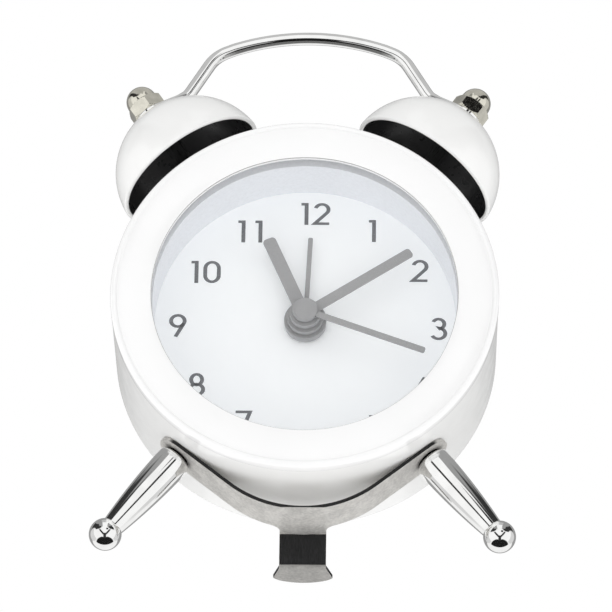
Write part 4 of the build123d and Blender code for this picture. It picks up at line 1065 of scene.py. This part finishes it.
class CLOCK_OT_handle(bpy.types.Operator):
    """Bends the carrying handle from one rod and flattens its two eyes"""

    bl_idname = "clock.handle"
    bl_label = "Carrying Handle"

    def execute(self, context):
        sizes, colours = chosen(context)
        chrome = handle_chrome(colours)
        top, half, radius = 52.08 * MM, 15.0 * MM, 35.0 * MM
        shoulder = (half, top - radius + sqrt(radius * radius - half * half))
        base = sizes.bell_rim_reach + sizes.bell_height
        tab = base + EYE_THICKNESS / 2
        reach, neck, to_knee = 5.8 * MM, 1.3 * MM, 6.8 * MM
        bends = (6.0 * MM, 3.0 * MM)

        def on_tab(run):
            """Point in the middle of the right eye's plate, this far in from its post."""
            return (
                tab * sin(BELL_ANGLE) - run * cos(BELL_ANGLE),
                tab * cos(BELL_ANGLE) + run * sin(BELL_ANGLE),
            )

        # The right half of the rod, from inside the arch over shoulder and knee into the eye
        knee, tip = on_tab(to_knee), on_tab(reach - neck / 2)
        arch = arc((-shoulder[0], shoulder[1]), (0, top), shoulder, 40)
        side = bent_path([arch[-6], shoulder, knee, tip], bends)
        line = [point for point in arch if abs(point[0]) < side[1].x - 0.4 * MM]
        line += [tuple(point) for point in side[1:]]
        nothing = 1e-6
        left = [(-x, z) for x, z in reversed(line) if x > nothing]
        line = left + [(x, z) for x, z in line if x > -nothing]

        curve = bpy.data.curves.new("handle_line", "CURVE")
        curve.dimensions = "3D"
        spline = curve.splines.new("POLY")
        spline.points.add(len(line) - 1)
        for point, (x, z) in zip(spline.points, line):
            point.co = (x, 0, z, 1)
        place = Matrix.Translation((0, FRONT + BELL_DEPTH, AXIS_HEIGHT))
        rod = grown("handle_rod", bent_rod_tree(), {
            "Radius": sizes.rod_radius, "Sides": 40, "Material": chrome,
        }, curve, place, [chrome])

        shape = bmesh.new()
        shape.from_mesh(rod.data)
        for end in (-1, 1):
            place = spoke_place(end * BELL_ANGLE, BELL_DEPTH) @ Matrix.Translation((0, 0, base))
            eye_into(shape, place, end, (2.8 * MM, neck, reach, 1.15 * MM))
        shape.to_mesh(rod.data)
        shape.free()
        rod.name = "carry_handle_rod"
        rod.data.shade_smooth()
        rod.data.set_sharp_from_angle(angle=SHARP_ANGLE)
        seat(rod, "case", "bright_chrome", "carry_handle")
        return {"FINISHED"}


def eye_into(shape, place, end, sizes):
    """Flattened eye of the handle: a drop-shaped plate with a hole and eased edges. Its sizes are
    the big and the small end's radius, how far apart they are, and the hole's radius."""
    big, small, reach, hole = sizes
    lean = atan2(sqrt(reach * reach - (big - small) ** 2), big - small)
    big_steps, small_steps = 48, 16
    outer = []
    for step in range(big_steps):
        angle = lean + (2 * pi - 2 * lean) * (step + 0.5) / big_steps
        outer.append((big * cos(angle), big * sin(angle)))
    for step in range(small_steps):
        angle = -lean + 2 * lean * (step + 0.5) / small_steps
        outer.append((reach + small * cos(angle), small * sin(angle)))

    def row(height, inset=None):
        """The drop's outline drawn in by the inset, or the hole's where there is none."""
        points = []
        for x, y in outer:
            away = hypot(x, y)
            scale = hole / away if inset is None else 1 - inset / away
            points.append(shape.verts.new(place @ Vector((-end * x * scale, y * scale, height))))
        return points

    ease, thick = 0.12 * MM, EYE_THICKNESS
    faces = skin(shape, [
        row(0, ease), row(ease, 0), row(thick - ease, 0), row(thick, ease), row(thick), row(0),
    ], True)
    bmesh.ops.recalc_face_normals(shape, faces=faces)


class CLOCK_OT_legs(bpy.types.Operator):
    """Turns the two legs with their ball feet"""

    bl_idname = "clock.legs"
    bl_label = "Legs"

    def execute(self, context):
        sizes, colours = chosen(context)
        chrome = plated("leg_chrome", colours.chrome)
        # Painted shadow for the groove at each leg's root
        shadow = brushed("leg_groove", dimmed(colours.tongue, 0.25), roughness=0.5)
        reach, ball = sizes.leg_reach, sizes.ball_radius
        stud, groove, root, neck = 1.25 * MM, 2.1 * MM, 2.72 * MM, 1.72 * MM
        stud_end, on_drum, shoulder = 28.0 * MM, 30.65 * MM, 31.1 * MM
        chamfer, waist = 0.3 * MM, 2.5 * MM
        neck_reach = reach - sqrt(ball * ball - neck * neck)
        middle = shoulder + 0.48 * (neck_reach - shoulder)
        start = (shoulder + chamfer, root)
        outline = [
            (stud_end, 0), (stud_end, stud), (on_drum, stud), (on_drum, groove),
            (shoulder, groove), (shoulder, root - chamfer), start,
        ]
        outline += arc(start, (middle, waist), (neck_reach, neck), 40)
        outline = eased(outline, 0.1 * MM, closed=False)
        # Bands of the groove between the drum and the leg, which take a near-black painted shadow
        deep = [
            index for index, (along, radius) in enumerate(outline)
            if on_drum - 0.1 * MM < along < middle and radius < groove + 0.15 * MM
        ]
        outline += arc((neck_reach, neck), (reach, ball), (reach + ball, 0), 40)[:-1]
        outline.append((reach + ball, 0))
        low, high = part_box("right_leg")
        depth, sides = (low.y + high.y) / 2 - FRONT, 128
        for side, name in ((-1, "left_leg"), (1, "right_leg")):
            leg = turned(
                name + "_plated", outline, spoke_place(pi - side * LEG_ANGLE, depth),
                [chrome, shadow], False, sides, deep,
            )
            seat(leg, "case", "bright_chrome", name)
        return {"FINISHED"}


class CLOCK_OT_bracket(bpy.types.Operator):
    """Eases the stand bracket's edges and gives it its mottled steel"""

    bl_idname = "clock.bracket"
    bl_label = "Stand Bracket"

    def execute(self, context):
        sizes, colours = chosen(context)
        cut = brushed("bracket_edge", dimmed(colours.steel, 1.1), roughness=0.4)
        foot_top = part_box("stand_bracket")[0].z + 1.2 * MM
        half, share = TONGUE_WIDTH / 2 * MM, 0.68

        def narrow_foot(at):
            """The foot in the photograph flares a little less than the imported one."""
            over = abs(at.x) - half
            if at.z > foot_top or over < 0:
                return at
            return Vector(((half + over * share) * (1 if at.x > 0 else -1), at.y, at.z))

        bracket = softened(
            "bracket_strip", "stand_bracket", sizes.edge_round * 1.6,
            [bracket_steel(colours), cut], 1, narrow_foot,
        )
        seat(bracket, "case", "stand_steel", "stand_bracket")
        return {"FINISHED"}


def cover_screw_shape(head_height, length):
    """One cover screw, from under its head: a rounded head with a cross recess, and its shank."""
    shape = bmesh.new()
    sides, head, flat, shank = 48, 1.4 * MM, 1.05 * MM, 0.7 * MM
    outline = [(head_height, flat)] + arc(
        (head_height, flat), (head_height * 0.84, head * 0.93), (head_height * 0.3, head), 8
    )
    outline += [(0, head), (0, shank), (-length + 0.3 * MM, shank), (-length, shank * 0.6)]
    rows = [row_round(shape, along, [radius] * sides) for along, radius in outline]
    skin(shape, rows)
    shape.faces.new(rows[-1])

    # Cross recess, and the flat of the head between it and the rim
    arm, slot = 0.8 * MM, 0.17 * MM
    corners = (
        (arm, -slot), (arm, slot), (slot, slot), (slot, arm), (-slot, arm), (-slot, slot),
        (-arm, slot), (-arm, -slot), (-slot, -slot), (-slot, -arm), (slot, -arm), (slot, -slot),
    )
    mouth = [shape.verts.new((x, y, head_height)) for x, y in corners]
    floor = [shape.verts.new((x * 0.85, y * 0.85, head_height * 0.35)) for x, y in corners]
    rim = rows[0]
    edges = [shape.edges.new(pair) for pair in zip(mouth, mouth[1:] + mouth[:1])]
    edges += [shape.edges.get(pair) for pair in zip(rim, rim[1:] + rim[:1])]
    bmesh.ops.triangle_fill(shape, edges=edges, use_beauty=True, use_dissolve=False)
    skin(shape, [mouth, floor])
    bmesh.ops.triangulate(shape, faces=[shape.faces.new(floor)])
    return shape


class CLOCK_OT_rear(bpy.types.Operator):
    """Finishes the rear cover and its door, and sets the cover screws"""

    bl_idname = "clock.rear"
    bl_label = "Rear Cover"

    def execute(self, context):
        sizes, colours = chosen(context)
        dress("rear_cover", moulded(
            "cover_grain", colours.cover, roughness=0.5, texture=0.02, spot=0.3
        ))
        dress("battery_door", moulded(
            "door_grain", dimmed(colours.cover, 0.96), roughness=0.45, texture=0.015, spot=0.3
        ))
        steel = brushed("screw_steel", paint(196, 196, 194), roughness=0.25)
        low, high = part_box("cover_screws")
        head, circle = 0.6 * MM, 25.9 * MM
        base = mesh_of("cover_screw_base", cover_screw_shape(head, high.y - low.y - head))
        seat_place = clock_place() @ Matrix.Translation((0, 0, high.y - FRONT - head))
        screws = grown("cover_screws_crossed", round_row_tree(), {
            "Count": sizes.cover_screws, "Reach": circle, "First Angle": radians(30),
            "Material": steel,
        }, base, seat_place, [steel])
        seat(screws, "case", "plain_steel", "cover_screws")
        return {"FINISHED"}


class CLOCK_OT_knobs(bpy.types.Operator):
    """Flutes the two setting knobs and finishes the alarm switch"""

    bl_idname = "clock.knobs"
    bl_label = "Knobs And Switch"

    def execute(self, context):
        sizes, colours = chosen(context)
        grey = moulded("knob_grey", colours.knobs, roughness=0.42, texture=0.008, spot=0.25)
        bodies = {"time_set_knob": "time_setter", "alarm_set_knob": "alarm_setter"}
        for name, body in bodies.items():
            low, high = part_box(name)
            base = bpy.data.meshes.new(name + "_empty")
            knob = grown(name + "_fluted", fluted_knob_tree(), {
                "Radius": sizes.knob_radius, "Height": high.y - low.y,
                "Flutes": sizes.knob_flutes, "Groove": 0.4 * MM, "Edge": 0.25 * MM,
                "Material": grey,
            }, base, facing_back((low + high) / 2), [grey])
            seat(knob, body, "knob_grey", name)
        for name in ("alarm_switch", "time_set_arbor", "alarm_set_arbor"):
            dress(name, grey)
        return {"FINISHED"}


class CLOCK_OT_movement(bpy.types.Operator):
    """Finishes the movement, the sounder, the cell and its contacts"""

    bl_idname = "clock.movement"
    bl_label = "Movement"

    def execute(self, context):
        ivory = moulded("wheel_ivory", paint(232, 226, 208), 0.4, 0.002, 0.4)
        black = moulded("movement_black", paint(34, 34, 36), 0.45, 0.01, 0.3)
        steel = brushed("plain_steel", paint(184, 184, 182), 0.3)
        # A plastic's numbers are its roughness, and the depth and the size of its texture in
        # millimetres. A metal's first number is its roughness.
        finishes = {
            "rotor": moulded("rotor_dark", paint(58, 56, 58), 0.4, 0.004, 0.3),
            "movement_plate": black,
            "movement_housing": black,
            "alarm_buzzer": moulded("buzzer_black", paint(28, 28, 30), 0.5, 0.006, 0.4),
            "inner_nuts": steel,
            "stator": steel,
            "coil_core": steel,
            "quartz_crystal": plated("crystal_can", paint(200, 200, 198), 0.12),
            "button_cell": brushed("cell_steel", paint(205, 205, 203), 0.22),
            "negative_contact": brushed("contact_brass", paint(214, 186, 116), 0.28),
            "positive_contact": brushed("contact_spring_brass", paint(214, 186, 116), 0.28),
            "drive_coil": brushed("coil_copper", paint(196, 110, 70), 0.35, (30, 1, 1), 0.6),
            "circuit_board": moulded("board_green", paint(30, 92, 56), 0.35, 0.006, 0.6),
        }
        for name in (
            "seconds_wheel", "third_wheel", "centre_wheel", "intermediate_wheel", "minute_arbor",
            "motion_wheel", "hour_wheel", "alarm_wheel",
        ):
            dress(name, ivory)
        for name, material in finishes.items():
            dress(name, material)
        return {"FINISHED"}


class CLOCK_OT_stage(bpy.types.Operator):
    """Lays the floor, hangs the lamps and sets up the camera"""

    bl_idname = "clock.stage"
    bl_label = "Stage"

    def execute(self, context):
        scene, stage = context.scene, context.scene.clock_stage
        scene.view_settings.view_transform = "Standard"
        lay_floor(scene, stage)
        soft_room(scene, stage)
        # Each lamp: its power, its size and its place, in metres
        lamps = {
            "key_lamp": (stage.key_power, 0.7, (-0.35, -0.75, 0.7)),
            "fill_lamp": (stage.fill_power, 0.7, (0.0, -0.62, -0.68)),
            "left_lamp": (stage.side_power, 0.5, (-0.78, 0.05, -0.62)),
            "right_lamp": (stage.side_power, 0.5, (0.78, 0.05, -0.62)),
        }
        for name, (power, size, place) in lamps.items():
            lamp = bpy.data.lights.new(name, "AREA")
            lamp.energy, lamp.size = power, size
            holder = bpy.data.objects.new(name, lamp)
            holder.location = place
            holder.visible_glossy = False
            aim = Vector((0, 0, AXIS_HEIGHT)) - Vector(place)
            holder.rotation_euler = aim.to_track_quat("-Z", "Y").to_euler()
            scene.collection.objects.link(holder)
        hang_sheets(scene)
        aim_camera(scene, stage)
        return {"FINISHED"}


def flat_sheets(scene, name, corners, material):
    """Level sheets of four corners each, which aren't part of the clock."""
    mesh = bpy.data.meshes.new(name)
    quads = [tuple(range(first, first + 4)) for first in range(0, len(corners), 4)]
    mesh.from_pydata(corners, [], quads)
    mesh.materials.append(material)
    sheets = bpy.data.objects.new(name, mesh)
    scene.collection.objects.link(sheets)
    return sheets


def lay_floor(scene, stage):
    """White paper table. It is clear to a camera and a lamp below it and to polished metal, and
    to a share of the light that the clock's own surfaces gather."""
    material, tree = bare_material("floor_paper")
    fibre = rising(tree, grain(tree, 3.0), 0.3, 0.7)
    tone = blended(tree, fibre, dimmed(stage.floor, 0.985), stage.floor)
    paper = result(tree, "ShaderNodeBsdfDiffuse", {"Color": tone})
    clear = result(tree, "ShaderNodeBsdfTransparent")
    under = node(tree, "ShaderNodeNewGeometry").outputs["Backfacing"]
    rays = node(tree, "ShaderNodeLightPath").outputs
    bounced = calc(tree, "MULTIPLY", rays["Is Diffuse Ray"], 0.75)
    passed = calc(tree, "MAXIMUM", rays["Is Glossy Ray"], rays["Is Shadow Ray"])
    share = calc(tree, "MAXIMUM", under, calc(tree, "MAXIMUM", passed, bounced))
    both = result(tree, "ShaderNodeMixShader", {0: share, 1: paper, 2: clear})
    node(tree, "ShaderNodeOutputMaterial", {"Surface": both})
    side = 1.6
    corners = [(-side, -side, 0), (side, -side, 0), (side, side, 0), (-side, side, 0)]
    flat_sheets(scene, "floor", corners, material)


def hang_sheets(scene):
    """Grey sheets over the clock, as a photographer hangs them, which only polished metal sees:
    a short one over the handle's arch, and a longer one over either side."""
    material, tree = bare_material("card_paper")
    light = result(tree, "ShaderNodeEmission", {"Color": (1, 1, 1, 1), "Strength": 0.55})
    node(tree, "ShaderNodeOutputMaterial", {"Surface": light})
    height, far = AXIS_HEIGHT + 75 * MM, 15
    # Left edge, right edge and near edge of each sheet, in millimetres like the far edge
    corners = []
    for left, right, near in ((-60, -21, -45), (-21, 21, -20), (21, 60, -45)):
        for x, y in ((left, near), (right, near), (right, far), (left, far)):
            corners.append((x * MM, y * MM, height))
    sheets = flat_sheets(scene, "overhead_sheets", corners, material)
    for rays in ("camera", "diffuse", "transmission", "shadow", "volume_scatter"):
        setattr(sheets, "visible_" + rays, False)


def studio_walls(tree):
    """How bright the studio looks in polished metal, by direction."""
    x, y, z = axes(tree, "ShaderNodeTexCoord", "Generated")
    across = calc(tree, "ABSOLUTE", x)
    ahead = calc(tree, "MAXIMUM", calc(tree, "MULTIPLY", y, -1.0), 0.05)
    slant = calc(tree, "DIVIDE", across, ahead)
    slant = calc(tree, "SUBTRACT", slant, calc(tree, "MULTIPLY", z, 0.9))
    black, dark, grey, side, pale, white = 0.012, 0.035, 0.34, 0.7, 0.95, 1.0
    blur, any_low, any_high = 0.035, -2, 2

    def zone(*spans):
        """1 where each value lies in its span, with soft edges, and 0 elsewhere."""
        edges = []
        for value, start, end in spans:
            edges.append(rising(tree, value, start - blur, start))
            edges.append(falling(tree, value, end, end + blur))
        return product(tree, *edges)

    # A later zone lies over the ones before it
    zones = (
        # The table behind, the side walls, the front wall and the strip straight overhead
        (zone((y, -0.15, any_high), (z, any_low, -0.2)), pale),
        (zone((across, 0.86, any_high)), side),
        (zone((y, any_low, -0.15), (z, any_low, 0.5)), white),
        (zone((across, -1, 0.22), (y, any_low, 0.15), (z, 0.4, any_high)), white),
        # The gaps between the strip and the side walls
        (zone((across, 0.55, 0.84), (y, -0.8, 0.3), (z, 0.33, 0.78)), dark),
        (zone((across, 0.38, 0.55), (y, -0.8, 0.3), (z, 0.4, 0.58)), dark),
        # The camera's stand: its base, its post and its slanting arms
        (zone((across, -1, 0.8), (y, -0.7, 0.22), (z, any_low, -0.64)), black),
        (zone((across, -1, 0.15), (y, any_low, -0.6), (z, -0.76, -0.26)), dark),
        (zone((slant, 0.36, 0.62), (y, any_low, -0.3), (z, -0.42, 0.24)), 0.03),
        # A black flag in front, on the right
        (zone((x, 0.17, 0.36), (y, any_low, -0.8), (z, 0.2, 0.38)), black),
    )
    tone = grey
    for share, brightness in zones:
        tone = ranged(tree, share, tone, brightness, 0.0, 1.0)
    return tone


def soft_room(scene, stage):
    """White room: it shows as white behind the clock and in its metal, and lights it softly."""
    world = bpy.data.worlds.new("white_room")
    world.use_nodes = True
    tree = world.node_tree
    tree.nodes.clear()
    rays = node(tree, "ShaderNodeLightPath").outputs
    seen = calc(tree, "MAXIMUM", rays["Is Camera Ray"], rays["Is Transmission Ray"])
    strength = ranged(tree, seen, stage.room_light, 1.0, 0.0, 1.0)
    strength = ranged(tree, rays["Is Glossy Ray"], strength, studio_walls(tree), 0.0, 1.0)
    light = result(tree, "ShaderNodeBackground", {"Color": (1, 1, 1, 1), "Strength": strength})
    node(tree, "ShaderNodeOutputWorld", {"Surface": light})
    scene.world = world


def aim_camera(scene, stage):
    """Camera at the photograph's angle, a little below the table top."""
    turn, tilt, roll = stage.azimuth, stage.elevation, stage.roll
    back = Vector((sin(turn) * cos(tilt), -cos(turn) * cos(tilt), sin(tilt)))
    level = Vector((cos(turn), sin(turn), 0))
    upright = back.cross(level)
    right = level * cos(roll) + upright * sin(roll)
    up = upright * cos(roll) - level * sin(roll)
    target = Vector((0.256, -11.8, 36.908)) * MM
    camera = bpy.data.cameras.new("camera")
    camera.lens = stage.lens_length
    camera.clip_start, camera.clip_end = 0.01, 20
    holder = bpy.data.objects.new("camera", camera)
    place = Matrix((right, up, back)).transposed().to_4x4()
    place.translation = target + back * stage.distance
    holder.matrix_world = place
    scene.collection.objects.link(holder)
    scene.camera = holder


STEPS = (
    CLOCK_OT_drum, CLOCK_OT_front_ring, CLOCK_OT_lens, CLOCK_OT_dial, CLOCK_OT_hands,
    CLOCK_OT_bells, CLOCK_OT_posts, CLOCK_OT_cap_nuts, CLOCK_OT_handle, CLOCK_OT_legs,
    CLOCK_OT_bracket, CLOCK_OT_rear, CLOCK_OT_knobs, CLOCK_OT_movement, CLOCK_OT_stage,
)
GROUPS = (ClockSizes, ClockColours, ClockStage)


class CLOCK_PT_steps(bpy.types.Panel):
    """Steps that dress the clock"""

    bl_label = "Twin-Bell Clock"
    bl_space_type = "VIEW_3D"
    bl_region_type = "UI"
    bl_category = "Clock"

    def draw(self, context):
        scene = context.scene
        for step in STEPS:
            self.layout.operator(step.bl_idname)
        for group in (scene.clock_sizes, scene.clock_colours, scene.clock_stage):
            box = self.layout.box()
            for name in group.__annotations__:
                box.prop(group, name)


def register():
    for made in (*GROUPS, *STEPS, CLOCK_PT_steps):
        bpy.utils.register_class(made)
    bpy.types.Scene.clock_sizes = PointerProperty(type=ClockSizes)
    bpy.types.Scene.clock_colours = PointerProperty(type=ClockColours)
    bpy.types.Scene.clock_stage = PointerProperty(type=ClockStage)


def unregister():
    del bpy.types.Scene.clock_stage
    del bpy.types.Scene.clock_colours
    del bpy.types.Scene.clock_sizes
    for made in (CLOCK_PT_steps, *reversed(STEPS), *reversed(GROUPS)):
        bpy.utils.unregister_class(made)


def main():
    """Dresses the clock step by step."""
    register()
    for step in STEPS:
        group, name = step.bl_idname.split(".")
        getattr(getattr(bpy.ops, group), name)()


if __name__ == "__main__":
    main()
